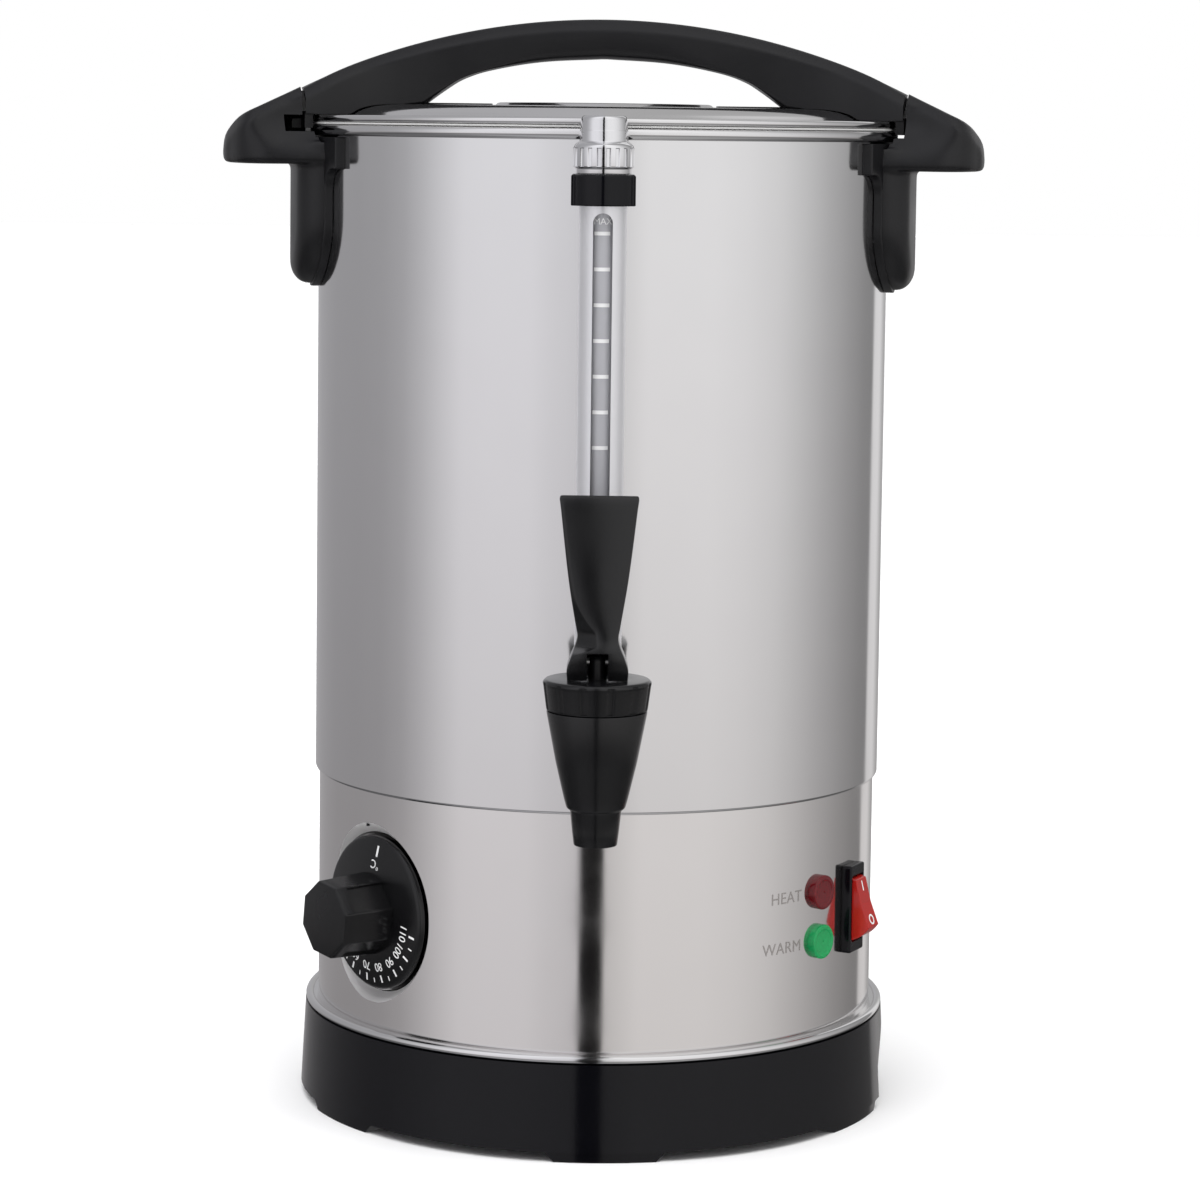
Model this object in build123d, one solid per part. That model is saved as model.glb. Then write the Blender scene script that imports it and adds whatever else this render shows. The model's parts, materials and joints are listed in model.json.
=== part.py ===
from build123d import *
import math
import os

# Electric brew kettle: a stainless tank over a control housing on a plastic base, with a
# twist-lock lid, a sight gauge and a lever tap.  Millimetres, +Z up.  The origin is on the
# axis of the tank in the plane of the feet; the tap faces -Y and the handles lie along X.

# ---- driving dimensions -------------------------------------------------------------------
SHEET = 0.8                    # stainless sheet
TANK_R = 110.0                 # outside of the tank wall
HOUSING_R = 108.4              # outside of the control housing
GAP = 0.3                      # clearance between pieces that move past each other

# heights above the feet
FOOT_H = 3.5
BASE_TOP = 36.0
HOUSING_BOTTOM = BASE_TOP + SHEET
HOUSING_TOP = 135.5
SKIRT_BOTTOM = 128.0
TANK_FLOOR = 136.0             # underside of the tank's floor
RIM_Z = 375.3                  # centre of the tank's rolled rim
LID_RIM_Z = 379.6              # centre of the lid's rolled edge

# base
BASE_FOOT_R = 115.0
BASE_TOP_R = 113.3
BASE_WALL = 2.6
BASE_FLOOR_Z = 6.0
FOOT_COUNT = 6
FOOT_OFFSET = 2.5              # the first foot stands this far round from the tap, degrees
FOOT_SPAN = 22.0               # arc of one foot, degrees
FOOT_DEPTH = 14.0
RECESS_ANGLE = 90.0            # hand recess, measured from the tap towards +X
RECESS_W = 56.0
RECESS_TOP = 30.0
RECESS_DEPTH = 15.0
TRIM_BEAD_R = 1.6
TRIM_R = 113.2
SCREW_R = 2.0                  # M4 body screws
SCREW_HEAD_R = 3.8
SCREW_HEAD_H = 2.4
BASE_SCREW_PCR = 102.0

# rims
BEAD_R = 2.2
RIM_BEAD_R = TANK_R + 1.3
LID_BEAD_R = 1.4
LID_BEAD_CENTRE_R = 111.6

# lid
LID_SHEET = 0.7
LID_PLATEAU_Z = 385.3
LID_BOSS_Z = 386.6
LID_BOSS_R = 41.0
LID_PLATEAU_R = 81.5
LID_SHOULDER_R = 98.8
LID_SHOULDER_MID = (92.0, 384.1)
LID_FLANGE_Z = 380.5
LID_SKIRT_R = 107.6
LID_SKIRT_DEPTH = 9.0
SEAL_T = 0.6
TWIST_OPEN = 34.0              # degrees

# lid handle (bow)
BOW_TOP_Z = 419.0
BOW_ARC_R = 263.0
BOW_END_R = 117.3
BOW_FOOT_R = 69.6
BOW_ARCH_Z = 403.8
BOW_HALF = ((0, 13.0), (70, 15.0), (90, 18.5), (107, 27.0), (122, 33.0))   # |x|, half-width
HOOK_HALF = 29.0
BOW_BEVEL = 4.2
TONGUE_BOTTOM = 375.9
TONGUE_TOP = 379.4
TONGUE_R = 120.8
TONGUE_HALF = 18.0
HOOK_R = 114.2

# side handles
SADDLE_R = 113.3               # joint between saddle and grip moulding
PADDLE_R = 121.0
PADDLE_HALF = 42.0
PADDLE_BOTTOM = 315.5
PADDLE_CORNER = 26.0
PADDLE_ROUND = 6.0
BAR_HALF = 52.5                # the saddle's wide top bar
BAR_TOP = 372.6
EAR_HALF = 44.0
EAR_BOTTOM = 360.8
EAR_LEDGE = 370.6              # under the tank's rolled rim
EAR_FLARE = ((108, 31.0), (118, 33.0), (126, 38.0), (136, 46.0))   # x, half-width above the rim
EAR_INNER_R = 118.8
EAR_TIP_X = 148.2
EAR_TOP_Z = 390.5
EAR_WALL = 3.0
SLOT_BOTTOM = 374.6
SLOT_TOP = 380.9
SLOT_R = 126.0
BEAD_NOTCH_R = 115.2
HANDLE_SCREW_Z = 352.0
HANDLE_SCREW_TURN = 11.5       # degrees each side of the X axis
SCREW_WASHER_T = 1.5

# sight gauge
GAUGE_Y = -123.0
GLASS_R = 5.5
GLASS_BORE = 4.2
GLASS_BOTTOM = 167.0
GLASS_TOP = 374.0
TEE_R = 8.6
TEE_TOP = 176.0
SHIELD_R = 8.5
SHIELD_T = 1.3
SHIELD_TOP = 363.0
CAP_TOP = 381.7
SLOT_W = 7.0
SLOT_END_Z = 347.3
SLOT_START_Z = 186.0
CLIP_BOTTOM = 349.8
CLIP_TOP = 361.0
CLIP_HALF = 11.5
CAP_GRIP_R = 10.9
CAP_RIBS = 20

# tap
TAP_Y = -152.0
SHANK_Z = 158.0
SHANK_R = 8.0
SHANK_BORE = 4.5
CHAMBER_R = 11.0
CHAMBER_FLOOR = 152.0
SEAT_R = 5.2
BONNET_TOP = 184.6
BONNET_BOTTOM = 173.6
BONNET_TOP_R = 19.3
BONNET_BOTTOM_R = 17.85
BONNET_SKIN = 3.0
PIN_Z = 190.6
PIN_R = 1.6
STEM_R = 3.2
LEVER_TOP = 250.0
LEVER_OPEN = 80.0              # degrees
STEM_LIFT = 4.0
LEVER_FOOT = PIN_Z - BONNET_TOP - 0.15
FORK_HALF = 3.75
SPRING_WIRE = 0.6
SPRING_R = 7.4
SPRING_TURNS = 6
COLLAR_R = 15.3
COLLAR_TOP = 181.4
CUP_TOP = 165.0
WASHER_R = 14.0
WASHER_T = 2.0
SHANK_END = 97.0               # inner end of the shank, from the kettle's axis
NUT_FACE = 106.5
NUT_T = 7.0
SLEEVE_R = 7.0
BONNET_RIBS = 12
FLARE_HALF = 10.8
NECK_HALF = 7.3
FAN_HALF = 14.1
NOTCH_TOP = 4.0                # above the pin
NOTCH_BACK = 3.5               # behind the pin
CROWN_RISE = 0.9

# controls on the housing: angle from the tap towards +X, and height
DIAL_ANGLE = -50.5
DIAL_Z = 82.4
DIAL_PAD_R = 31.0
DIAL_PAD_FACE = 104.0          # the flat is pressed in, between its left and right edges
DIAL_SKIRT_R = 29.0
DIAL_FACE = 130.6
DIAL_TURN = 6.5                # rest position, clockwise from the bar upright, degrees
DIAL_DRAFT = 2.5               # draft of the grip, degrees
DIAL_SCOOP = 0.9               # depth of the finger flats
DIAL_SCOOP_W = 10.4
DIAL_BROW = 5.0                # the finger flats end this far behind the face
SWITCH_ANGLE = 63.4
SWITCH_Z = 82.7
SWITCH_H = 33.5
SWITCH_W = 13.0
LAMP_ANGLE = 51.2
HEAT_LAMP_Z = 92.3
WARM_LAMP_Z = 73.5
LAMP_R = 6.5
LAMP_PROUD = 2.6
INLET_Z = 72.0
INLET_W = 27.0
INLET_H = 20.0
INLET_FLANGE_W = 50.0
INLET_FLANGE_H = 27.0
INLET_SCREW_X = 20.0
INLET_SCREW_R = 1.5
DIAL_GRIP_R = 15.6             # over the corners
SHAFT_R = 3.0
SHAFT_START = 94.0
SHAFT_END = 125.0
THERMOSTAT_BACK = 78.0
THERMOSTAT_SCREW_X = 14.0
SWITCH_BACK = 88.0
SWITCH_WALL = 0.8
BEZEL_PROUD = 3.6
ROCKER_PIVOT = 108.4           # from the kettle's axis
ROCKER_TILT = 17.5             # degrees, on or off
ROCKER_DISH = 3.7              # each half of the face leans in by this, degrees
ROCKER_FACE = 7.5              # height of the face's middle above the pivot
ROCKER_UNDER = 2.0
ROCKER_HALF = 4.8
ROCKER_SWING = 12.3
ROCKER_PIN_R = 1.2
WELL_DEPTH = 7.0               # below the pivot

# heater and wiring
HEAT_PLATE_R = 80.0
HEAT_PLATE_T = 5.0
ELEMENT_RING_R = 62.0
ELEMENT_R = 3.6
ELEMENT_ARC = 300.0
BULB_R = 3.0
BULB_X = 22.0
BULB_Y = -92.0
BULB_LENGTH = 46.0
BULB_CLIP_X = 26.0
CLIP_STRIP = 0.8
CLIP_WIDTH = 10.0
BLOCK_Y = 40.0
BLOCK_H = 18.0
BLOCK_WAYS = (-18, -6, 6, 18)


# ---- helpers ------------------------------------------------------------------------------
def turned(points):
    """Solid of revolution about Z from a closed (radius, height) outline."""
    outline = Polyline(*[(r, 0, z) for r, z in points], close=True)
    return revolve(make_face(outline), Axis.Z)


def tube(outer, inner, bottom, top):
    """Plain ring about Z."""
    return turned([(inner, bottom), (outer, bottom), (outer, top), (inner, top)])


def disc(radius, bottom, top):
    """Plain disc about Z."""
    return Pos(0, 0, bottom) * Cylinder(radius, top - bottom, align=(Align.CENTER, Align.CENTER, Align.MIN))


def bead(ring_radius, wire_radius, height):
    """Rolled edge about Z."""
    return Pos(0, 0, height) * Torus(ring_radius, wire_radius)


def facing(angle, height, radius=0.0):
    """Location on a radius of the kettle: its local Z points outwards, its local Y points up.

    angle is measured from the tap (-Y) towards +X."""
    a = math.radians(angle)
    outward = (math.sin(a), -math.cos(a), 0)
    across = (math.cos(a), math.sin(a), 0)
    origin = (outward[0] * radius, outward[1] * radius, height)
    return Location(Plane(origin=origin, x_dir=across, z_dir=outward))


def spun(shape, count, first=0.0):
    """Copies of shape at equal angles about Z."""
    step = 360.0 / count
    return [Rot(0, 0, first + i * step) * shape for i in range(count)]


def across_x(outline, half):
    """Prism whose (y, z) outline is run from -half to +half along X."""
    face = make_face(Polyline(*[(0, y, z) for y, z in outline], close=True))
    return extrude(face, amount=half, dir=(1, 0, 0), both=True)


def across_y(edges, half):
    """Prism from edges in the XZ plane, run from -half to +half along Y."""
    return extrude(make_face(edges), amount=half, dir=(0, 1, 0), both=True)


def screw(head_r, head_h, shank_r, length):
    """Pan-head screw along Z: the head's seat is at z = 0 and the shank runs down."""
    head = disc(head_r, 0, head_h)
    head = fillet(head.edges().group_by(Axis.Z)[-1], head_h * 0.55)
    shank = disc(shank_r, -length, 0)
    cross = Box(head_r, 0.9, head_h, align=(Align.CENTER, Align.CENTER, Align.MIN))
    cross += Rot(0, 0, 90) * cross
    return head + shank - Pos(0, 0, head_h * 0.45) * cross


def rod(path, radius):
    """Round bar along a path."""
    start = Plane(origin=path @ 0, z_dir=path % 0)
    return sweep(start * Circle(radius), path=path)


# ---- base ---------------------------------------------------------------------------------
def recess_arch(margin, depth):
    """Arched pocket of the hand recess, open downwards; margin widens it all round."""
    half = RECESS_W / 2 + margin
    top = RECESS_TOP + margin
    spring_z = FOOT_H + 12
    inner = Edge.make_line((-half, 0), (-half, spring_z))
    roof = ThreePointArc((-half, spring_z), (0, top), (half, spring_z))
    outer = Edge.make_line((half, spring_z), (half, 0))
    sill = Edge.make_line((half, 0), (-half, 0))
    face = make_face([inner, roof.edge(), outer, sill])
    start = BASE_FOOT_R - depth - margin
    return facing(RECESS_ANGLE, 0, start) * extrude(face, amount=depth + margin + 5)


def foot():
    """One foot: an arc-shaped lug with sloped ends."""
    section = Polyline(
        (BASE_FOOT_R - FOOT_DEPTH, 0, 0),
        (BASE_FOOT_R - 0.4, 0, 0),
        (BASE_FOOT_R - 0.4, 0, FOOT_H + 1),
        (BASE_FOOT_R - FOOT_DEPTH, 0, BASE_FLOOR_Z + 1),
        close=True,
    )
    lug = revolve(make_face(section), Axis.Z, revolution_arc=FOOT_SPAN)
    ends = lug.edges().filter_by(GeomType.LINE).group_by(Axis.Z)[0]
    return Rot(0, 0, -90 - FOOT_SPAN / 2) * chamfer(ends, FOOT_H * 0.9)


def base_screw_places():
    """Places of the three screws that hold the base to the housing."""
    return [Rot(0, 0, FOOT_OFFSET - 90 + i * 120) * Pos(BASE_SCREW_PCR, 0, 0) for i in range(3)]


def base_shell():
    """Tapered skirt with a floor, six feet, three screw posts and a hand recess at one side."""
    under = BASE_FLOOR_Z
    above = BASE_FLOOR_Z + BASE_WALL
    shell = turned([
        (0, under), (BASE_FOOT_R - BASE_WALL - 0.1, under), (BASE_FOOT_R - BASE_WALL, FOOT_H),
        (BASE_FOOT_R, FOOT_H), (BASE_TOP_R, BASE_TOP), (BASE_SCREW_PCR - 6, BASE_TOP),
        (BASE_SCREW_PCR - 6, BASE_TOP - BASE_WALL), (BASE_TOP_R - BASE_WALL, BASE_TOP - BASE_WALL),
        (BASE_FOOT_R - BASE_WALL - 0.4, above), (0, above),
    ])
    for lug in spun(foot(), FOOT_COUNT, FOOT_OFFSET):
        shell += lug
    envelope = turned([(0, FOOT_H), (BASE_FOOT_R, FOOT_H), (BASE_TOP_R, BASE_TOP), (0, BASE_TOP)])
    shell += recess_arch(BASE_WALL, RECESS_DEPTH) & envelope
    shell -= recess_arch(0, RECESS_DEPTH)
    for place in base_screw_places():
        shell += place * disc(SCREW_HEAD_R + 2.2, BASE_FLOOR_Z, BASE_TOP)
        shell -= place * disc(SCREW_R + 0.2, -1, BASE_TOP + 1)
        shell -= place * disc(SCREW_HEAD_R + 0.4, -1, 12)
    for i in range(-4, 5):
        shell -= Pos(i * 9, 0, BASE_FLOOR_Z) * Box(3, 60, 4 * BASE_WALL)
    return shell


def base_screws():
    """Three screws, up through the base into the housing's flange."""
    head_up = Rot(180, 0, 0) * screw(SCREW_HEAD_R, SCREW_HEAD_H, SCREW_R, HOUSING_BOTTOM - 12 + 4)
    return Compound(children=[place * Pos(0, 0, 12) * head_up for place in base_screw_places()])


def base_trim_ring():
    """Bright ring with a rolled bead, clamped between base and housing."""
    web = tube(TRIM_R - TRIM_BEAD_R, BASE_SCREW_PCR - 6, BASE_TOP, BASE_TOP + SHEET)
    ring = web + bead(TRIM_R - TRIM_BEAD_R, TRIM_BEAD_R, BASE_TOP + TRIM_BEAD_R)
    for place in base_screw_places():
        ring -= place * disc(SCREW_R + 0.2, 0, 60)
    return ring


# ---- control housing ----------------------------------------------------------------------
def lower_shell():
    """Housing wall with a bottom flange, a pressed flat for the dial and the control cut-outs."""
    flange_r = BASE_SCREW_PCR - 6
    bottom = HOUSING_BOTTOM
    outside = disc(HOUSING_R, bottom, HOUSING_TOP)
    outside -= facing(DIAL_ANGLE, DIAL_Z) * disc(DIAL_PAD_R, DIAL_PAD_FACE, 200)
    inside = disc(HOUSING_R - SHEET, bottom + SHEET, HOUSING_TOP + 1)
    inside -= facing(DIAL_ANGLE, DIAL_Z) * disc(DIAL_PAD_R + SHEET, DIAL_PAD_FACE - SHEET, 200)
    shell = outside - inside - disc(flange_r, 0, HOUSING_TOP)
    for place in base_screw_places():
        shell += place * disc(SCREW_R + 2, bottom, bottom + 3)
        shell -= place * disc(SCREW_R + 0.05, 0, 60)
    dial = facing(DIAL_ANGLE, DIAL_Z)
    shell -= dial * disc(5, 90, 120)
    for x in (-THERMOSTAT_SCREW_X, THERMOSTAT_SCREW_X):
        shell -= dial * Pos(x, 0, 0) * disc(SCREW_R + 0.1, 90, 120)
    core_w = 2 * (ROCKER_HALF + GAP + SWITCH_WALL)
    shell -= facing(SWITCH_ANGLE, SWITCH_Z, HOUSING_R) * Box(core_w + 0.2, SWITCH_H - 4, 20)
    for height in (HEAT_LAMP_Z, WARM_LAMP_Z):
        shell -= facing(LAMP_ANGLE, height) * disc(LAMP_R - 1.4, 90, 120)
    inlet = facing(180, INLET_Z, HOUSING_R)
    shell -= inlet * Box(INLET_W + 0.4, INLET_H + 0.4, 20)
    for x in (-INLET_SCREW_X, INLET_SCREW_X):
        shell -= inlet * Pos(x, 0, 0) * disc(INLET_SCREW_R + 0.1, -10, 10)
    return shell


# ---- tank ---------------------------------------------------------------------------------
def handle_screw_places():
    """Radial places of the handle screws: two for each side handle."""
    angles = [side + turn for side in (-90, 90) for turn in (-HANDLE_SCREW_TURN, HANDLE_SCREW_TURN)]
    return [facing(angle, HANDLE_SCREW_Z) for angle in angles]


def tank():
    """Open vessel: wall with a rolled rim, a floor, and a skirt below the floor."""
    wall = TANK_R - SHEET
    vessel = turned([
        (0, TANK_FLOOR), (wall, TANK_FLOOR), (wall, SKIRT_BOTTOM), (TANK_R, SKIRT_BOTTOM),
        (TANK_R, RIM_Z), (wall, RIM_Z), (wall, TANK_FLOOR + SHEET), (0, TANK_FLOOR + SHEET),
    ])
    vessel += bead(RIM_BEAD_R, BEAD_R, RIM_Z)
    vessel -= facing(0, SHANK_Z) * disc(SHANK_R + 0.1, 90, 120)
    for place in handle_screw_places():
        vessel -= place * disc(SCREW_R + 0.1, 90, 120)
    return vessel


# ---- heater and wiring --------------------------------------------------------------------
def heat_plate():
    """Aluminium spreader pressed to the underside of the tank's floor."""
    return disc(HEAT_PLATE_R, TANK_FLOOR - HEAT_PLATE_T, TANK_FLOOR)


def heating_element():
    """Ring-shaped tubular element with two terminals."""
    z = TANK_FLOOR - HEAT_PLATE_T - ELEMENT_R
    section = Pos(ELEMENT_RING_R, 0, z) * (Plane.XZ * Circle(ELEMENT_R))
    ring = revolve(section, Axis.Z, revolution_arc=ELEMENT_ARC)
    element = ring
    for angle in (4, ELEMENT_ARC - 4):
        element += Rot(0, 0, angle) * Pos(ELEMENT_RING_R, 0, 0) * disc(1.8, z - 14, z)
    return Rot(0, 0, 90 + (360 - ELEMENT_ARC) / 2) * element


def thermal_cutout():
    """Dry-boil cut-out, held against the heat plate."""
    top = TANK_FLOOR - HEAT_PLATE_T
    cutout = disc(9, top - 10, top) + Pos(0, 0, top - 5) * Box(30, 8, 1.2)
    for x in (-4, 4):
        cutout += Pos(x, 0, top - 14) * Box(0.8, 6, 9)
    return cutout


def thermostat_body():
    """Capillary thermostat behind the dial."""
    depth = DIAL_PAD_FACE - SHEET - THERMOSTAT_BACK
    body = Pos(0, 0, THERMOSTAT_BACK + depth / 2) * Box(40, 32, depth)
    body -= disc(SHAFT_R + 0.05, SHAFT_START - 0.2, DIAL_PAD_FACE)
    for x in (-THERMOSTAT_SCREW_X, THERMOSTAT_SCREW_X):
        body -= Pos(x, 0, 0) * disc(SCREW_R, DIAL_PAD_FACE - 9, DIAL_PAD_FACE)
    return facing(DIAL_ANGLE, DIAL_Z) * body


def thermostat_screws():
    """Two screws, from outside, hidden behind the dial's skirt."""
    fixing = screw(3.4, 1.6, SCREW_R, 6)
    places = [Pos(x, 0, DIAL_PAD_FACE) for x in (-THERMOSTAT_SCREW_X, THERMOSTAT_SCREW_X)]
    return facing(DIAL_ANGLE, DIAL_Z) * Compound(children=[place * fixing for place in places])


def thermostat_shaft():
    """Spindle with a flat, from the thermostat into the dial."""
    shaft = disc(SHAFT_R, SHAFT_START, SHAFT_END)
    flat = Pos(0, SHAFT_R, (DIAL_PAD_FACE + SHAFT_END) / 2 + 4) * Box(8, 2, SHAFT_END - DIAL_PAD_FACE - 8)
    return facing(DIAL_ANGLE, DIAL_Z) * (shaft - flat)


def thermostat_bulb():
    """Sensing bulb under the tank's floor, with its capillary."""
    a = math.radians(DIAL_ANGLE)
    out = (math.sin(a), -math.cos(a))
    bulb_z = TANK_FLOOR - BULB_R
    back = [out[0] * THERMOSTAT_BACK, out[1] * THERMOSTAT_BACK, DIAL_Z]
    path = FilletPolyline(
        tuple(back),
        (out[0] * 60, out[1] * 60, DIAL_Z),
        (out[0] * 60, out[1] * 60 - 10, 112),
        (-20, BULB_Y, 117),
        (-20, BULB_Y, bulb_z),
        (0, BULB_Y, bulb_z),
        radius=4,
    )
    capillary = rod(path, 0.8)
    bulb = Pos(BULB_X, BULB_Y, bulb_z) * Rot(0, 90, 0) * Cylinder(BULB_R, BULB_LENGTH)
    return capillary + bulb


def bulb_clip():
    """Spring clip that holds the bulb up to the tank's floor."""
    z = TANK_FLOOR - BULB_R
    half = BULB_R + CLIP_STRIP
    middle = Pos(BULB_CLIP_X, BULB_Y, z)
    strap = middle * Rot(0, 90, 0) * Cylinder(half, CLIP_WIDTH)
    strap += middle * Pos(0, 0, BULB_R / 2) * Box(CLIP_WIDTH, 2 * half, BULB_R)
    strap &= middle * Box(CLIP_WIDTH, 2 * half, 2 * half)
    strap -= middle * Rot(0, 90, 0) * Cylinder(BULB_R, 2 * CLIP_WIDTH)
    strap -= middle * Pos(0, 0, half) * Box(2 * CLIP_WIDTH, 2 * BULB_R, 2 * half)
    strap &= middle * Pos(0, 0, -half / 2 + BULB_R / 2) * Box(CLIP_WIDTH, 2 * half, half + BULB_R)
    foot = Pos(0, half + CLIP_WIDTH / 2 - CLIP_STRIP / 2, BULB_R - CLIP_STRIP / 2)
    return strap + middle * foot * Box(CLIP_WIDTH, CLIP_WIDTH + CLIP_STRIP, CLIP_STRIP)


def terminal_block():
    """Connector block on the base's floor."""
    floor = BASE_FLOOR_Z + BASE_WALL
    block = Pos(0, BLOCK_Y, floor + BLOCK_H / 2) * Box(50, 20, BLOCK_H)
    for x in BLOCK_WAYS:
        block -= Pos(x, BLOCK_Y, floor + BLOCK_H) * Cylinder(2.6, 14)
    return block


def earth_screw():
    """Earthing stud with its nut, on the housing's flange."""
    z = HOUSING_BOTTOM + SHEET
    stud = disc(SCREW_R, z, z + 12) + Pos(0, 0, z + 3) * extrude(RegularPolygon(4.2, 6), amount=3.2)
    return Rot(0, 0, 60) * Pos(BASE_SCREW_PCR, 0, 0) * stud


def internal_leads():
    """Insulated leads between the inlet, block, switch, thermostat, cut-out and element."""
    floor = BASE_FLOOR_Z + BASE_WALL
    top = floor + BLOCK_H - 6
    leads = []
    for x, end_x in ((BLOCK_WAYS[0], -7), (BLOCK_WAYS[1], 7)):
        leads.append(((x, BLOCK_Y, top), (x, BLOCK_Y, 46), (end_x, 80, 60), (end_x, 80, 72), (end_x, 87.3, 72)))
    a = math.radians(SWITCH_ANGLE)
    sx, sy = math.sin(a) * SWITCH_BACK, -math.cos(a) * SWITCH_BACK
    leads.append(((BLOCK_WAYS[3], BLOCK_Y, top), (BLOCK_WAYS[3], BLOCK_Y, 52),
                  (sx - 16, sy + 6, 70), (sx - 16, sy + 6, 82), (sx - 1, sy, 82)))
    a = math.radians(DIAL_ANGLE)
    tx, ty = math.sin(a) * THERMOSTAT_BACK, -math.cos(a) * THERMOSTAT_BACK
    leads.append(((BLOCK_WAYS[2], BLOCK_Y, top), (BLOCK_WAYS[2], BLOCK_Y, 58),
                  (tx + 14, ty + 22, 74), (tx + 14, ty + 14, 74), (tx + 2, ty + 2, 74)))
    return Compound(children=[rod(FilletPolyline(*lead, radius=4), 1.3) for lead in leads])


def mains_inlet():
    """Appliance inlet: a flanged socket with a recess for the plug of a loose cord."""
    plate = Box(INLET_FLANGE_W, INLET_FLANGE_H, 8, align=(Align.CENTER, Align.CENTER, Align.MAX))
    body = Pos(0, 0, HOUSING_R + 3.2) * fillet(plate.edges().filter_by(Axis.Z), 4)
    core = Box(INLET_W, INLET_H, 22, align=(Align.CENTER, Align.CENTER, Align.MAX))
    body = facing(180, INLET_Z) * body - disc(HOUSING_R + 0.05, 0, 200)
    body += facing(180, INLET_Z, HOUSING_R + 1) * core
    mouth = Box(INLET_W - 4, INLET_H - 4, 16.5, align=(Align.CENTER, Align.CENTER, Align.MAX))
    mouth = chamfer(mouth.edges().filter_by(Axis.Z).group_by(Axis.Y)[-1], 4)
    body -= facing(180, INLET_Z, HOUSING_R + 4) * mouth
    for x in (-INLET_SCREW_X, INLET_SCREW_X):
        body -= facing(180, INLET_Z) * Pos(x, 0, 0) * disc(INLET_SCREW_R + 0.1, 90, 120)
    return body


def inlet_pins():
    """Three flat contact pins inside the inlet."""
    back = HOUSING_R + 4 - 16.5
    pins = [Pos(x, y, back + 6) * Box(2, 5, 12) for x, y in ((-7, -2), (7, -2), (0, 3))]
    return facing(180, INLET_Z) * Compound(children=pins)


def inlet_screws():
    """Two screws that hold the inlet to the housing."""
    fixing = screw(2.9, 1.5, INLET_SCREW_R, 10)
    places = [Pos(x, 0, HOUSING_R + 3.2) for x in (-INLET_SCREW_X, INLET_SCREW_X)]
    return facing(180, INLET_Z) * Compound(children=[place * fixing for place in places])


# ---- controls -----------------------------------------------------------------------------
def dial_knob():
    """Dial with a domed skirt and an eight-sided grip, scooped on every other side."""
    back = DIAL_PAD_FACE + GAP
    skirt = turned([
        (0, back), (DIAL_SKIRT_R - 1, back), (DIAL_SKIRT_R, back + 0.8), (DIAL_SKIRT_R, back + 2.6),
        (DIAL_SKIRT_R - 1.2, back + 3.4), (16, back + 5.2), (0, back + 5.4),
    ])
    skirt -= turned([(0, back - 1), (DIAL_SKIRT_R - 3, back - 1), (DIAL_SKIRT_R - 3, back + 2), (0, back + 2)])
    grip_start = back + 4.5
    length = DIAL_FACE - grip_start
    grip = extrude(Rot(0, 0, 22.5) * RegularPolygon(DIAL_GRIP_R, 8), amount=length, taper=DIAL_DRAFT)
    grip = fillet(grip.edges().group_by(Axis.Z)[-1], 0.8)
    flat_r = DIAL_GRIP_R * math.cos(math.radians(22.5))
    finger = Box(5, DIAL_SCOOP_W, length - DIAL_BROW, align=(Align.MIN, Align.CENTER, Align.MIN))
    finger = Pos(flat_r - DIAL_SCOOP, 0, 0) * Rot(0, -DIAL_DRAFT, 0) * finger
    for cutter in spun(finger, 4, 45):
        grip -= cutter
    knob = skirt + Pos(0, 0, grip_start) * Rot(0, 0, -DIAL_TURN) * grip
    knob -= disc(SHAFT_R + 0.02, back - 1, SHAFT_END + 0.5)
    return facing(DIAL_ANGLE, DIAL_Z) * knob


def switch_body():
    """Rocker switch case with its bezel; the well behind the bezel holds the rocker."""
    plate = Box(SWITCH_W, SWITCH_H, 8, align=(Align.CENTER, Align.CENTER, Align.MAX))
    plate = fillet(plate.edges().filter_by(Axis.Z), 0.8)
    plate = fillet(plate.edges().group_by(Axis.Z)[-1], 0.6)
    case = facing(SWITCH_ANGLE, SWITCH_Z, HOUSING_R + BEZEL_PROUD) * plate - disc(HOUSING_R + 0.05, 0, 200)
    well_w = 2 * (ROCKER_HALF + GAP)
    well_h = 2 * (ROCKER_SWING + GAP)
    depth = HOUSING_R + 1 - SWITCH_BACK
    core = Box(well_w + 2 * SWITCH_WALL, SWITCH_H - 4.4, depth, align=(Align.CENTER, Align.CENTER, Align.MIN))
    case += facing(SWITCH_ANGLE, SWITCH_Z, SWITCH_BACK) * core
    well = Box(well_w, well_h, 30, align=(Align.CENTER, Align.CENTER, Align.MIN))
    case -= facing(SWITCH_ANGLE, SWITCH_Z, ROCKER_PIVOT - WELL_DEPTH) * well
    pivot = facing(SWITCH_ANGLE, SWITCH_Z, ROCKER_PIVOT) * Rot(0, 90, 0)
    return case - pivot * Cylinder(ROCKER_PIN_R + 0.05, well_w + SWITCH_WALL)


def switch_rocker():
    """Rocker with two faces that meet in a shallow valley, and a trunnion at each side."""
    reach = 2 * ROCKER_SWING
    edge = ROCKER_FACE + math.tan(math.radians(ROCKER_DISH)) * reach
    outline = [(-reach, edge), (-reach, -ROCKER_UNDER), (reach, -ROCKER_UNDER), (reach, edge), (0, ROCKER_FACE)]
    rocker = across_x(outline, ROCKER_HALF) & (Rot(0, 90, 0) * Cylinder(ROCKER_SWING, 2 * ROCKER_HALF))
    rocker += Rot(0, 90, 0) * Cylinder(ROCKER_PIN_R, 2 * (ROCKER_HALF + GAP) + SWITCH_WALL - 0.2)
    return facing(SWITCH_ANGLE, SWITCH_Z, ROCKER_PIVOT) * Rot(-ROCKER_TILT, 0, 0) * rocker


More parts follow.
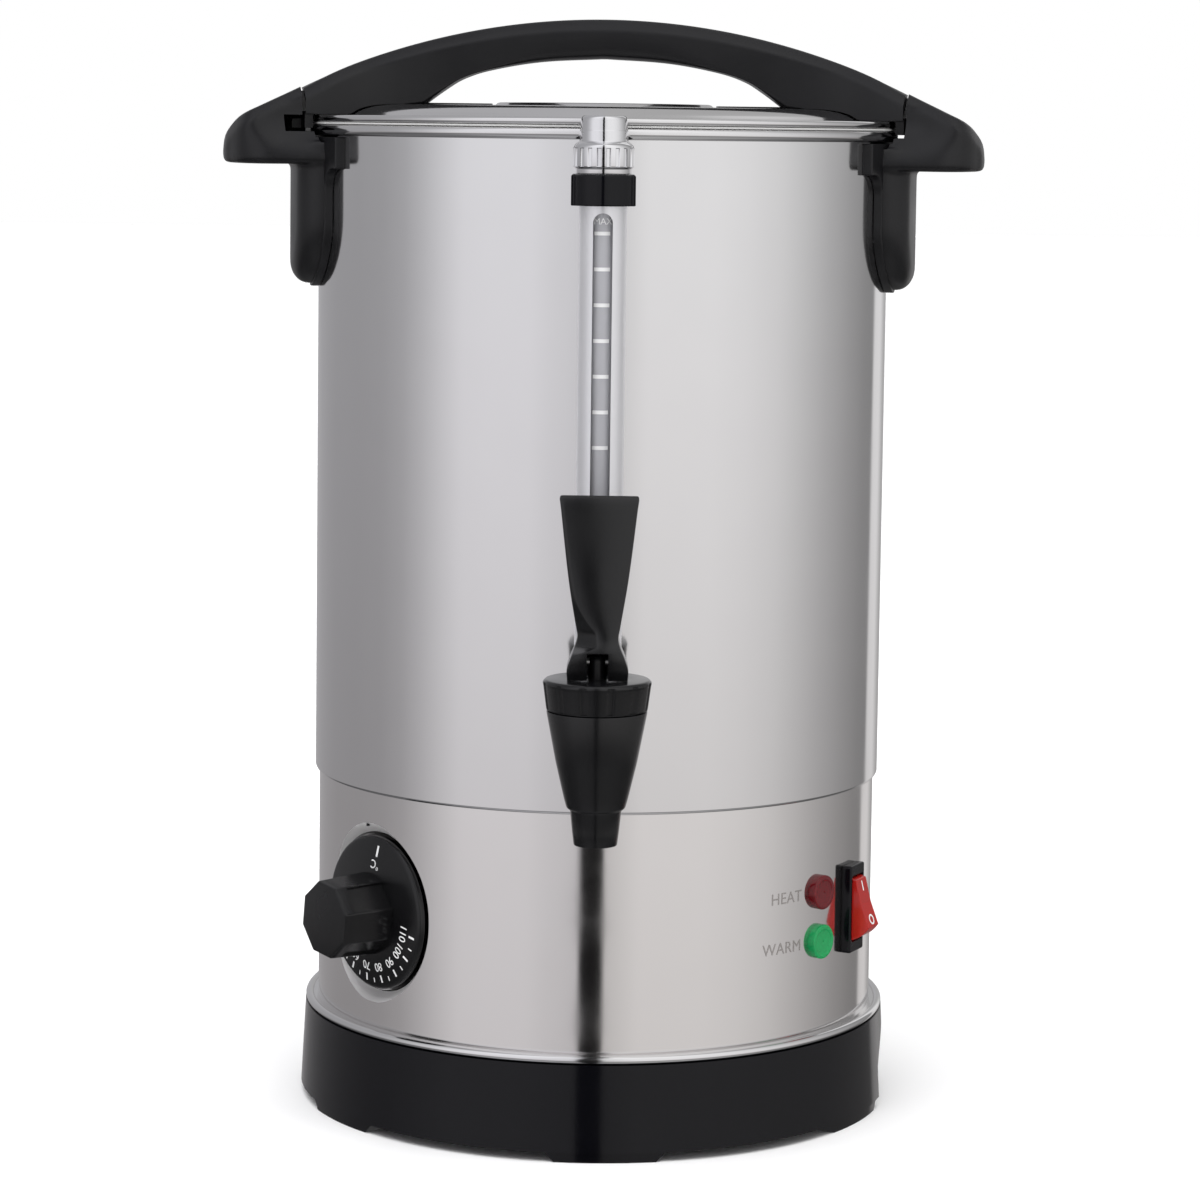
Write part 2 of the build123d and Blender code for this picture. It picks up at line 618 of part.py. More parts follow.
def lamp_lens(height):
    """Flat-faced coloured lens that sits on the housing."""
    lens = disc(LAMP_R, HOUSING_R - 3, HOUSING_R + LAMP_PROUD)
    lens = fillet(lens.edges().group_by(Axis.Z)[-1], 0.6)
    return facing(LAMP_ANGLE, height) * lens - disc(HOUSING_R + 0.02, 0, 200)


def lamp_bodies():
    """Two lamp holders, behind the lenses."""
    holder = disc(LAMP_R - 1.5, 90, HOUSING_R - 0.5) + disc(LAMP_R, 98, 102)
    heights = (HEAT_LAMP_Z, WARM_LAMP_Z)
    return Compound(children=[facing(LAMP_ANGLE, height) * holder for height in heights])


# ---- tap ----------------------------------------------------------------------------------
def tap_body():
    """Tap moulding: upright barrel with a spout, a shank through the tank wall and a gauge tee."""
    barrel = Pos(0, TAP_Y, 0) * turned([
        (0, 125.4), (7.7, 125.4), (9.1, 138.0), (10.5, 138.6), (11.4, 142.0), (14.4, 155.2),
        (17.9, BONNET_BOTTOM - 0.1), (COLLAR_R, BONNET_BOTTOM - 0.1), (COLLAR_R, COLLAR_TOP), (0, COLLAR_TOP),
    ])
    along = facing(0, SHANK_Z)
    body = barrel + along * disc(SHANK_R, SHANK_END, -TAP_Y)
    body += along * disc(WASHER_R, TANK_R + WASHER_T, TANK_R + WASHER_T + 4.5)
    body += Pos(0, GAUGE_Y, 0) * disc(TEE_R, SHANK_Z, TEE_TOP)
    body -= Pos(0, TAP_Y, 0) * disc(CHAMBER_R, CHAMBER_FLOOR, COLLAR_TOP + 1)
    body -= Pos(0, TAP_Y, 0) * disc(SEAT_R, 120, CHAMBER_FLOOR + 1)
    body -= along * disc(SHANK_BORE, SHANK_END - 1, -TAP_Y)
    body -= Pos(0, GAUGE_Y, 0) * disc(SHANK_BORE - 1, SHANK_Z, TEE_TOP + 1)
    body -= Pos(0, GAUGE_Y, 0) * disc(SLEEVE_R, GLASS_BOTTOM, TEE_TOP + 1)
    return body


def tap_washer_outer():
    """Silicone washer between the tap's collar and the tank."""
    ring = facing(0, SHANK_Z) * disc(WASHER_R, 100, TANK_R + WASHER_T)
    return ring - disc(TANK_R, 0, 300) - facing(0, SHANK_Z) * disc(SHANK_R, 90, 130)


def tap_washer_inner():
    """Silicone washer between the back nut and the inside of the tank."""
    ring = facing(0, SHANK_Z) * disc(WASHER_R, NUT_FACE, 120) & disc(TANK_R - SHEET, 0, 300)
    return ring - facing(0, SHANK_Z) * disc(SHANK_R, 90, 130)


def tap_nut():
    """Hexagonal back nut inside the tank."""
    nut = extrude(RegularPolygon(13.5, 6), amount=NUT_T)
    return facing(0, SHANK_Z, NUT_FACE - NUT_T) * (nut - disc(SHANK_R, -1, NUT_T + 1))


def tap_bonnet():
    """Ribbed cap, wider at its top, with a hole for the stem."""
    skin = BONNET_SKIN
    cap = turned([
        (STEM_R + 0.06, BONNET_TOP - skin), (COLLAR_R + 0.1, BONNET_TOP - skin), (COLLAR_R + 0.1, BONNET_BOTTOM),
        (BONNET_BOTTOM_R, BONNET_BOTTOM), (BONNET_TOP_R, BONNET_TOP - 1.2), (BONNET_TOP_R - 1.1, BONNET_TOP),
        (STEM_R + 0.06, BONNET_TOP),
    ])
    lean = math.degrees(math.atan2(BONNET_TOP_R - BONNET_BOTTOM_R, BONNET_TOP - BONNET_BOTTOM))
    middle = (BONNET_TOP + BONNET_BOTTOM) / 2
    groove = Pos((BONNET_TOP_R + BONNET_BOTTOM_R) / 2 + 1.2, 0, middle) * Rot(0, lean, 0) * Cylinder(2.0, 30)
    for cutter in spun(groove, BONNET_RIBS, 15):
        cap -= cutter
    return Pos(0, TAP_Y, 0) * cap


def tap_stem():
    """Stem with a rounded top; its cross hole carries the lever's pin."""
    stem = disc(STEM_R, CUP_TOP - 6, PIN_Z) + Pos(0, 0, PIN_Z) * Sphere(STEM_R)
    stem -= Pos(0, 0, PIN_Z) * Rot(0, 90, 0) * Cylinder(PIN_R, 20)
    return Pos(0, TAP_Y, 0) * stem


def tap_pin():
    """Pin through the lever's fork and the stem."""
    return Pos(0, TAP_Y, PIN_Z) * Rot(0, 90, 0) * Cylinder(PIN_R, 2 * FLARE_HALF - 1.6)


def tap_seat_cup():
    """Silicone cup that closes the tap's seat."""
    cup = turned([
        (0, CHAMBER_FLOOR + 0.1), (8.8, CHAMBER_FLOOR + 0.1), (9.2, 157), (5.4, 157), (5.4, CUP_TOP),
        (STEM_R, CUP_TOP), (STEM_R, CUP_TOP - 6), (0, CUP_TOP - 6),
    ])
    return Pos(0, TAP_Y, 0) * cup


def tap_spring():
    """Coil spring between the cup's shoulder and the bonnet."""
    low = 157 + SPRING_WIRE + 0.1
    high = BONNET_TOP - BONNET_SKIN - SPRING_WIRE - 0.1
    path = Pos(0, 0, low) * Helix(pitch=(high - low) / SPRING_TURNS, height=high - low, radius=SPRING_R)
    return Pos(0, TAP_Y, 0) * rod(path, SPRING_WIRE)


def cam_outline():
    """Underside of the lever's fork, relative to the pin as (y, z): lift grows evenly with angle."""
    rate = STEM_LIFT / math.radians(LEVER_OPEN)
    points = []
    for i in range(9):
        a = math.radians(LEVER_OPEN) * i / 8
        reach = LEVER_FOOT + rate * a
        y = -reach * math.sin(a) - rate * math.cos(a)
        z = -reach * math.cos(a) + rate * math.sin(a)
        points.append((y, z))
    return points


def tap_lever():
    """Fan-shaped lever with a forked cam foot, pulled forward to open the tap."""
    top = LEVER_TOP - PIN_Z
    side = [(5.2, -LEVER_FOOT)] + cam_outline() + [
        (-9.2, 4.5), (-6.4, 9.0), (-2.4, top - 3), (-1.0, top), (0.9, top), (2.0, top - 2), (5.6, 5.0),
    ]
    profile = across_x(side, 30)
    flank = [(-FLARE_HALF, -12), (-FLARE_HALF, -2), (-NECK_HALF, 8.5)]
    sweep_out = (-FAN_HALF, top - CROWN_RISE)
    left = Polyline(*[(x, 0, z) for x, z in flank + [sweep_out]])
    crown = ThreePointArc((-FAN_HALF, 0, top - CROWN_RISE), (0, 0, top), (FAN_HALF, 0, top - CROWN_RISE))
    right = Polyline(*[(-x, 0, z) for x, z in [sweep_out] + flank[::-1]])
    sill = Line((FLARE_HALF, 0, -12), (-FLARE_HALF, 0, -12))
    front = across_y(left.edges() + crown.edges() + right.edges() + sill.edges(), 40)
    lever = profile & front
    notch = Box(2 * FORK_HALF, 60, 40, align=(Align.CENTER, Align.MAX, Align.MAX))
    lever -= Pos(0, NOTCH_BACK, NOTCH_TOP) * notch
    lever -= Rot(0, 90, 0) * Cylinder(PIN_R + 0.06, 60)
    return Pos(0, TAP_Y, PIN_Z) * lever


# ---- sight gauge --------------------------------------------------------------------------
def gauge_tube():
    """Clear tube that shows the level."""
    return Pos(0, GAUGE_Y, 0) * tube(GLASS_R, GLASS_BORE, GLASS_BOTTOM, GLASS_TOP)


def gauge_sleeve():
    """Silicone sleeve that seals the tube in the tee."""
    return Pos(0, GAUGE_Y, 0) * tube(SLEEVE_R, GLASS_R, GLASS_BOTTOM, TEE_TOP)


def gauge_shield():
    """Metal shield round the tube, with a round-ended slot at the front."""
    shield = tube(SHIELD_R, SHIELD_R - SHIELD_T, TEE_TOP, SHIELD_TOP)
    length = SLOT_END_Z - SLOT_START_Z
    slot = extrude(SlotOverall(length, SLOT_W, rotation=90), amount=20)
    shield -= facing(0, (SLOT_END_Z + SLOT_START_Z) / 2) * slot
    return Pos(0, GAUGE_Y, 0) * shield


def gauge_clip():
    """Clip that holds the shield to the tank."""
    clip = disc(CLIP_HALF, CLIP_BOTTOM, CLIP_TOP)
    block = Pos(0, 6, (CLIP_BOTTOM + CLIP_TOP) / 2) * Box(2 * CLIP_HALF, 22, CLIP_TOP - CLIP_BOTTOM)
    clip = chamfer((clip + block).faces().sort_by(Axis.Z)[-1].edges(), 0.6)
    clip = Pos(0, GAUGE_Y, 0) * clip
    return clip - disc(TANK_R, 300, 400) - Pos(0, GAUGE_Y, 0) * disc(SHIELD_R, 300, 400)


def gauge_cap():
    """Cap over the top of the tube: a ribbed grip ring below a plain neck."""
    cap = turned([
        (0, GLASS_TOP + 0.2), (GLASS_R + 0.05, GLASS_TOP + 0.2), (GLASS_R + 0.05, SHIELD_TOP + 0.1),
        (SHIELD_R + 0.05, SHIELD_TOP + 0.1), (SHIELD_R + 0.05, CLIP_TOP), (10.2, CLIP_TOP), (10.2, 363.2),
        (CAP_GRIP_R, 363.4), (CAP_GRIP_R, 370.6), (9.9, 371.6), (9.2, 372.3), (8.6, 372.4), (8.6, 376.4),
        (8.45, 376.4), (8.2, CAP_TOP - 0.8), (7.4, CAP_TOP), (0, CAP_TOP),
    ])
    groove = Pos(CAP_GRIP_R + 0.35, 0, 367) * Cylinder(0.9, 6)
    for cutter in spun(groove, CAP_RIBS):
        cap -= cutter
    return Pos(0, GAUGE_Y, 0) * cap


# ---- side handles -------------------------------------------------------------------------
def paddle_outline():
    """U-shaped outline of the tongue of a side handle, seen along X."""
    height = EAR_LEDGE - PADDLE_BOTTOM
    face = Pos(0, PADDLE_BOTTOM + height / 2) * Rectangle(2 * PADDLE_HALF, height)
    return fillet(face.vertices().group_by(Axis.Y)[0], PADDLE_CORNER)


def saddle():
    """Inner moulding of the +X handle: the same tongue, below a wider bar, against the tank."""
    bar = BAR_TOP - EAR_BOTTOM
    face = paddle_outline() + Pos(0, EAR_BOTTOM + bar / 2) * Rectangle(2 * BAR_HALF, bar)
    inner = [v for v in face.vertices() if abs(v.Y - EAR_BOTTOM) < 0.1 and abs(v.X) < BAR_HALF - 1]
    outline = extrude(Plane.YZ * fillet(inner, 8), amount=200)
    pad = outline & tube(SADDLE_R, TANK_R, PADDLE_BOTTOM - 1, BAR_TOP)
    for place in handle_screw_places()[2:]:
        pad -= place * disc(SCREW_R + 0.2, 90, 130)
    return pad


def ear_plan(half, tip):
    """Plan of the ear below the rim: broad, rounding off to its tip."""
    front = [(90, -half + 3), (130, -half), (tip - 9, -half + 6), (tip - 2.4, -half + 18), (tip, -half + 31)]
    plan = make_face(Polyline(*(front + [(x, -y) for x, y in front[::-1]]), close=True))
    outer = [v for v in plan.vertices() if v.X > 131]
    return extrude(fillet(outer, 6), amount=500)


def ear_flare():
    """Plan of the ear above the rim: it widens outwards from the end of the lid's bow."""
    front = Spline(*[(x, -half, 0) for x, half in EAR_FLARE])
    back = Spline(*[(x, half, 0) for x, half in EAR_FLARE[::-1]])
    end_x, end_half = EAR_FLARE[-1]
    start_x, start_half = EAR_FLARE[0]
    tip = Polyline((end_x, -end_half, 0), (EAR_TIP_X + 5, -end_half, 0), (EAR_TIP_X + 5, end_half, 0),
                   (end_x, end_half, 0))
    root = Line((start_x, start_half, 0), (start_x, -start_half, 0))
    return extrude(make_face(front.edges() + tip.edges() + back.edges() + root.edges()), amount=500)


def ear_profile(start, low, inset=0.0):
    """Side view of the ear from start to its tip; inset draws it in on the outside."""
    tip = EAR_TIP_X - inset
    top = EAR_TOP_Z - (start - 117.6) * 0.5 - inset * 1.12
    return across_y(Polyline(
        (start, 0, low), (tip, 0, low), (tip, 0, 368.5 - inset), (tip - 3, 0, 375 - inset),
        (139.4 - inset, 0, 379.6 - inset), (start, 0, top), close=True,
    ).edges(), EAR_HALF + 5)


def side_handle():
    """Outer moulding of the +X handle: grip paddle, and ear with the lock slot."""
    outline = extrude(Plane.YZ * paddle_outline(), amount=200)
    paddle = outline & tube(PADDLE_R, SADDLE_R, PADDLE_BOTTOM - 1, EAR_LEDGE)
    paddle = fillet(paddle.faces().sort_by(Axis.X)[-1].edges(), PADDLE_ROUND)
    ear = ear_profile(SADDLE_R - 12, EAR_BOTTOM) & ear_plan(EAR_HALF, EAR_TIP_X)
    ear -= Pos(0, 0, BAR_TOP) * (Pos(0, 0, 50) * Box(400, 400, 100) - ear_flare())
    pocket_plan = ear_plan(EAR_HALF - 3 * EAR_WALL, EAR_TIP_X - EAR_WALL - 1)
    ear -= ear_profile(SLOT_R + EAR_WALL, EAR_BOTTOM - 5, EAR_WALL) & pocket_plan
    ear -= disc(SADDLE_R, 300, EAR_LEDGE)
    ear -= disc(SADDLE_R + 0.9, EAR_LEDGE - 0.01, SLOT_BOTTOM)
    ear -= disc(BEAD_NOTCH_R, BAR_TOP, SLOT_BOTTOM)
    ear -= disc(EAR_INNER_R, SLOT_BOTTOM - 0.01, 420)
    start = -math.degrees(math.asin((TONGUE_HALF + 1.5) / TONGUE_R))
    slot = make_face(Polyline((100, 0, SLOT_BOTTOM), (SLOT_R, 0, SLOT_BOTTOM), (SLOT_R, 0, SLOT_TOP),
                              (100, 0, SLOT_TOP), close=True))
    ear -= Rot(0, 0, start) * revolve(slot, Axis.Z, revolution_arc=70)
    handle = paddle + ear
    for place in handle_screw_places()[2:]:
        handle -= place * disc(SCREW_R, 90, SADDLE_R + 5)
    return handle


def handle_screws():
    """Four screws from inside the tank into the side handles."""
    fixing = Rot(180, 0, 0) * screw(3.6, 2.0, SCREW_R, 9)
    start = TANK_R - SHEET - SCREW_WASHER_T
    return Compound(children=[place * Pos(0, 0, start) * fixing for place in handle_screw_places()])


def handle_screw_washers():
    """Four sealing washers under the screws' heads."""
    inside = disc(TANK_R - SHEET, 300, 400)
    washers = []
    for place in handle_screw_places():
        start = TANK_R - SHEET - SCREW_WASHER_T
        ring = place * (disc(5, start, TANK_R) - disc(SCREW_R, start - 1, TANK_R + 1))
        washers.append(ring & inside)
    return Compound(children=[washer.solid() for washer in washers])


# ---- lid ----------------------------------------------------------------------------------
def lid_surface(drop=0.0):
    """Edges of the lid's section, from the axis out to the rolled edge, lowered by drop."""
    boss, plateau, flange = LID_BOSS_Z - drop, LID_PLATEAU_Z - drop, LID_FLANGE_Z - drop
    mid_r, mid_z = LID_SHOULDER_MID
    return Polyline((0, 0, boss), (LID_BOSS_R, 0, boss), (LID_BOSS_R + 1.6, 0, plateau),
                    (LID_PLATEAU_R, 0, plateau)).edges() \
        + ThreePointArc((LID_PLATEAU_R, 0, plateau), (mid_r, 0, mid_z - drop), (LID_SHOULDER_R, 0, flange)).edges() \
        + Line((LID_SHOULDER_R, 0, flange), (LID_BEAD_CENTRE_R, 0, flange)).edges()


def under_lid(drop):
    """Solid of revolution that fills everything below the lid's section."""
    flange = LID_FLANGE_Z - drop
    floor = Polyline((LID_BEAD_CENTRE_R, 0, flange), (LID_BEAD_CENTRE_R, 0, 360), (0, 0, 360),
                     (0, 0, LID_BOSS_Z - drop))
    return revolve(make_face(lid_surface(drop) + floor.edges()), Axis.Z)


def lid_pan():
    """Pressed lid with a raised centre, a rounded shoulder and a rolled edge."""
    pan = under_lid(0) - under_lid(LID_SHEET)
    pan -= disc(LID_BEAD_CENTRE_R + 1, 300, LID_FLANGE_Z - LID_SHEET - 3)
    pan = pan + bead(LID_BEAD_CENTRE_R, LID_BEAD_R, LID_RIM_Z)
    for place in lid_screw_places():
        pan -= place * disc(SCREW_R + 0.1, 370, 400)
    return pan


def lid_skirt():
    """Locating ring welded under the lid, inside the tank's mouth."""
    top = LID_FLANGE_Z - LID_SHEET
    wall = LID_SKIRT_R - LID_SHEET
    return turned([
        (wall, top - LID_SKIRT_DEPTH), (LID_SKIRT_R, top - LID_SKIRT_DEPTH), (LID_SKIRT_R, top),
        (LID_SHOULDER_R + 1.5, top), (LID_SHOULDER_R + 1.5, top - LID_SHEET), (wall, top - LID_SHEET),
    ])


def lid_seal():
    """Flat silicone ring held on the skirt, between the two rolled edges."""
    top = LID_RIM_Z - LID_BEAD_R - 0.03
    return tube(LID_BEAD_CENTRE_R + 1.0, LID_SKIRT_R + 0.1, top - SEAL_T, top)


def bow_plan():
    """Plan of the bow: narrow in the middle, flared towards both ends."""
    right = [(x, -half, 0) for x, half in BOW_HALF]
    front = [(-x, y, z) for x, y, z in right[:0:-1]] + right
    back = [(x, -y, z) for x, y, z in front[::-1]]
    ends = [Line(front[-1], back[0]), Line(back[-1], front[0])]
    return extrude(make_face(Spline(*front).edges() + ends[0].edges() + Spline(*back).edges() + ends[1].edges()),
                   amount=500)


def bow_side():
    """Side view of the bow: arched top and arched opening."""
    end_x = BOW_END_R + 4
    drop = BOW_ARC_R - math.sqrt(BOW_ARC_R ** 2 - end_x ** 2)
    top = ThreePointArc((-end_x, 0, BOW_TOP_Z - drop), (0, 0, BOW_TOP_Z), (end_x, 0, BOW_TOP_Z - drop))
    rim = LID_RIM_Z + LID_BEAD_R + 0.3
    down = [(end_x, 0, BOW_TOP_Z - drop), (end_x, 0, rim), (BOW_FOOT_R, 0, rim), (BOW_FOOT_R, 0, LID_PLATEAU_Z)]
    right = Polyline(*down)
    left = Polyline(*[(-x, y, z) for x, y, z in down[::-1]])
    arch_x, arch_z = 45.0, 398.8
    arch = ThreePointArc((-arch_x, 0, arch_z), (0, 0, BOW_ARCH_Z), (arch_x, 0, arch_z))
    near = Bezier((BOW_FOOT_R, 0, LID_PLATEAU_Z), (62, 0, 391.5), (56, 0, 396.4), (arch_x, 0, arch_z))
    far = Bezier((-arch_x, 0, arch_z), (-56, 0, 396.4), (-62, 0, 391.5), (-BOW_FOOT_R, 0, LID_PLATEAU_Z))
    loop = top.edges() + right.edges() + near.edges() + arch.edges() + far.edges() + left.edges()
    return across_y(loop, 60)


def lid_handle():
    """Bow handle across the lid, with a hooked locking tongue at each end."""
    bow = bow_side() & bow_plan() & disc(BOW_END_R, 375, 430)
    crest = [e for e in bow.edges() if e.center().Z > 405 and abs(e.center().Y) > 5 and e.length > 100]
    bow = chamfer(crest, BOW_BEVEL)
    for side in (0, 180):
        hook = tube(BOW_END_R, HOOK_R, TONGUE_BOTTOM, LID_RIM_Z + LID_BEAD_R + 1)
        hook &= Pos(110, 0, 390) * Box(60, 2 * HOOK_HALF, 60)
        tongue = tube(TONGUE_R, HOOK_R, TONGUE_BOTTOM, TONGUE_TOP) & Pos(110, 0, 390) * Box(60, 2 * TONGUE_HALF, 60)
        strip = Pos(61, 0, LID_PLATEAU_Z + 0.42) * Box(2 * (79 - 61), 16, 0.8)
        bow += Rot(0, 0, side) * (hook + tongue + strip)
    bow -= under_lid(-0.02)
    for place in lid_screw_places():
        bow -= place * disc(SCREW_R, LID_PLATEAU_Z - 1, LID_PLATEAU_Z + 8)
    return bow


def lid_screw_places():
    """Places of the four screws, two up into each leg of the bow."""
    return [Pos(side * 77, y, 0) for side in (-1, 1) for y in (-8, 8)]


def lid_handle_screws():
    """Four screws from inside the lid."""
    fixing = Rot(180, 0, 0) * screw(3.6, 2.0, SCREW_R, 8)
    seat = LID_PLATEAU_Z - LID_SHEET
    return Compound(children=[place * Pos(0, 0, seat) * fixing for place in lid_screw_places()])


# ---- output -------------------------------------------------------------------------------
HALF_TURN = Rot(0, 0, 180)

NODES = {
    "base_shell": base_shell(),
    "base_screws": base_screws(),
    "base_trim_ring": base_trim_ring(),
    "lower_shell": lower_shell(),
    "tank": tank(),
    "heat_plate": heat_plate(),
    "heating_element": heating_element(),
    "thermal_cutout": thermal_cutout(),
    "thermostat_body": thermostat_body(),
    "thermostat_screws": thermostat_screws(),
    "thermostat_shaft": thermostat_shaft(),
    "thermostat_bulb": thermostat_bulb(),
    "bulb_clip": bulb_clip(),
    "terminal_block": terminal_block(),
    "earth_screw": earth_screw(),
    "internal_leads": internal_leads(),
    "mains_inlet": mains_inlet(),
    "inlet_pins": inlet_pins(),
    "inlet_screws": inlet_screws(),
    "dial_knob": dial_knob(),
    "switch_body": switch_body(),
    "switch_rocker": switch_rocker(),
    "heat_lamp_lens": lamp_lens(HEAT_LAMP_Z),
    "warm_lamp_lens": lamp_lens(WARM_LAMP_Z),
    "lamp_bodies": lamp_bodies(),
    "tap_body": tap_body(),
    "tap_washer_outer": tap_washer_outer(),
    "tap_washer_inner": tap_washer_inner(),
    "tap_nut": tap_nut(),
    "tap_bonnet": tap_bonnet(),
    "tap_stem": tap_stem(),
    "tap_pin": tap_pin(),
    "tap_seat_cup": tap_seat_cup(),
    "tap_spring": tap_spring(),
    "tap_lever": tap_lever(),
    "gauge_tube": gauge_tube(),
    "gauge_sleeve": gauge_sleeve(),
    "gauge_shield": gauge_shield(),
    "gauge_clip": gauge_clip(),
    "gauge_cap": gauge_cap(),
    "handle_saddle_right": saddle(),
    "handle_saddle_left": HALF_TURN * saddle(),
    "side_handle_right": side_handle(),
    "side_handle_left": HALF_TURN * side_handle(),
    "handle_screws": handle_screws(),
    "handle_screw_washers": handle_screw_washers(),
    "lid_pan": lid_pan(),
    "lid_skirt": lid_skirt(),
    "lid_seal": lid_seal(),
    "lid_handle": lid_handle(),
    "lid_handle_screws": lid_handle_screws(),
}

os.makedirs("parts", exist_ok=True)
for node, shape in NODES.items():
    export_step(shape, f"parts/{node}.step")
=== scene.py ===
import json
import math

import bmesh
import bpy
from mathutils import Matrix, Vector


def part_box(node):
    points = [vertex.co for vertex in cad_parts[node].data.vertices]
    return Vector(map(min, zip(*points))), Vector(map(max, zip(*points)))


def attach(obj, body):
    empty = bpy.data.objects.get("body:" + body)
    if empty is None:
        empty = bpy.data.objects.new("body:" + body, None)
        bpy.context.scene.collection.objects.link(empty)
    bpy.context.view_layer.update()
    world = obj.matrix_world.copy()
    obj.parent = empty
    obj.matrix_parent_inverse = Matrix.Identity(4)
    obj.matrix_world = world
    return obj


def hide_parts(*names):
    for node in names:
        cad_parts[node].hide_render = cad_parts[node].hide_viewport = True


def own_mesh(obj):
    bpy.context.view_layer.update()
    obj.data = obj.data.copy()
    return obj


# Looks of the electric brew kettle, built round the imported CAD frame.  Sizes here are in
# millimetres and become metres when a mesh is made.  The tap faces -Y, the handles lie on X.

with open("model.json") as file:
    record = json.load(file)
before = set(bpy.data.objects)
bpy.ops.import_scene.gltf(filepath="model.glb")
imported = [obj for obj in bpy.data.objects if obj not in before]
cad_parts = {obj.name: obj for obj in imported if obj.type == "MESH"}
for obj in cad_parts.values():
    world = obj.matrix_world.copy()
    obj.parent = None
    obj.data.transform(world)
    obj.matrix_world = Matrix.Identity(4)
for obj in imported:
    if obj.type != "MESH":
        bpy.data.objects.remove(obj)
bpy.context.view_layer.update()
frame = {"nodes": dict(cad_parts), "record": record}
nodes = frame["nodes"]
MM = 0.001


def low(node):
    """Lowest corner of a CAD node, in millimetres."""
    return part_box(node)[0] / MM


def high(node):
    """Highest corner of a CAD node, in millimetres."""
    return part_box(node)[1] / MM


# ---- sizes read from the frame ---------------------------------------------------------------
SHEET = 0.8
RIM_WIRE = 2.2                                  # radius of the tank's rolled rim
LID_WIRE = 1.4                                  # radius of the lid's rolled edge
TRIM_WIRE = 1.6                                 # radius of the base ring's bead
HOUSING_R = 108.4
TANK_R = 110.0
TANK_FLOOR = low("tank").z + 8.0
TANK_BOTTOM = low("tank").z
RIM_Z = high("tank").z - RIM_WIRE
RIM_R = high("tank").x - RIM_WIRE
HOUSING_BOTTOM = low("lower_shell").z
HOUSING_TOP = high("lower_shell").z
LID_TOP = high("lid_pan").z
LID_EDGE_R = high("lid_pan").x - LID_WIRE
LID_PLATEAU = LID_TOP - 1.3
LID_FLANGE = LID_TOP - 6.1
LID_EDGE_Z = LID_FLANGE - 0.9
TRIM_R = high("base_trim_ring").x
BASE_TOP = high("base_shell").z
GAUGE_Y = (low("gauge_tube").y + high("gauge_tube").y) / 2
TAP_Y = (low("tap_stem").y + high("tap_stem").y) / 2
DIAL_ANGLE = -50.5                              # controls: degrees from the tap towards +X
SWITCH_ANGLE = 63.4
LAMP_ANGLE = 51.2
DIAL_Z = (low("dial_knob").z + high("dial_knob").z) / 2
SWITCH_Z = (low("switch_body").z + high("switch_body").z) / 2
HEAT_LAMP_Z = (low("heat_lamp_lens").z + high("heat_lamp_lens").z) / 2
WARM_LAMP_Z = (low("warm_lamp_lens").z + high("warm_lamp_lens").z) / 2
INLET_Z = 72.0
PAD_FACE = 104.0                                # flat pressed into the housing for the dial
PAD_R = 31.0
PAD_WALL = 3.5                                  # width of the wall round the flat
DIAL_FACE = 130.6


# ---- shapes: a shape is (vertices in millimetres, faces) -------------------------------------
def moved(shape, matrix):
    """The shape carried by a matrix."""
    return [matrix @ Vector(v) for v in shape[0]], shape[1]


def joined(*shapes):
    """Several closed shapes as one."""
    verts, faces = [], []
    for some_verts, some_faces in shapes:
        start = len(verts)
        verts += list(some_verts)
        faces += [[start + i for i in face] for face in some_faces]
    return verts, faces


def softened(points, radius, steps=3):
    """Closed outline with each corner rounded, as far as its neighbours leave room."""
    result = []
    count = len(points)
    for i in range(count):
        corner = Vector(points[i])
        before = Vector(points[i - 1]) - corner
        after = Vector(points[(i + 1) % count]) - corner
        reach = min(radius, before.length * 0.45, after.length * 0.45)
        start = corner + before.normalized() * reach
        end = corner + after.normalized() * reach
        for k in range(steps + 1):
            t = k / steps
            result.append(start * (1 - t) ** 2 + corner * 2 * t * (1 - t) + end * t ** 2)
    return result


def arc(centre, radius, first, last, steps=14):
    """Points of an arc, with angles in degrees."""
    points = []
    for k in range(steps + 1):
        a = math.radians(first + (last - first) * k / steps)
        points.append((centre[0] + radius * math.cos(a), centre[1] + radius * math.sin(a)))
    return points


def lathe(outline, steps=256):
    """Solid turned about Z from a closed (radius, height) outline, anticlockwise."""
    verts, faces = [], []
    count = len(outline)
    for j in range(steps):
        a = 2 * math.pi * j / steps
        for p in outline:
            verts.append((p[0] * math.cos(a), p[0] * math.sin(a), p[1]))
    for j in range(steps):
        here, there = j * count, ((j + 1) % steps) * count
        for i in range(count):
            k = (i + 1) % count
            faces.append((here + i, there + i, there + k, here + k))
    return verts, faces


def lofted(rings):
    """Closed solid through rings of equal point count, with a face at each end."""
    count = len(rings[0])
    verts = [v for ring in rings for v in ring]
    faces = [list(range(count))[::-1], [(len(rings) - 1) * count + i for i in range(count)]]
    for j in range(len(rings) - 1):
        for i in range(count):
            k = (i + 1) % count
            faces.append((j * count + i, j * count + k, (j + 1) * count + k, (j + 1) * count + i))
    return verts, faces


def facing(angle, height, radius=0.0):
    """Place on a radius of the kettle: local Z points outwards and local Y points up."""
    a = math.radians(angle)
    outward = Vector((math.sin(a), -math.cos(a), 0))
    across = Vector((math.cos(a), math.sin(a), 0))
    place = Matrix((across, Vector((0, 0, 1)), outward)).transposed().to_4x4()
    place.translation = outward * radius + Vector((0, 0, height))
    return place


def brick(lo, hi):
    """Box between two corners, used for cutting."""
    xs, ys, zs = zip(lo, hi)
    verts = [(x, y, z) for z in zs for y in ys for x in xs]
    faces = [(0, 2, 3, 1), (4, 5, 7, 6), (0, 1, 5, 4), (2, 6, 7, 3), (0, 4, 6, 2), (1, 3, 7, 5)]
    return verts, faces


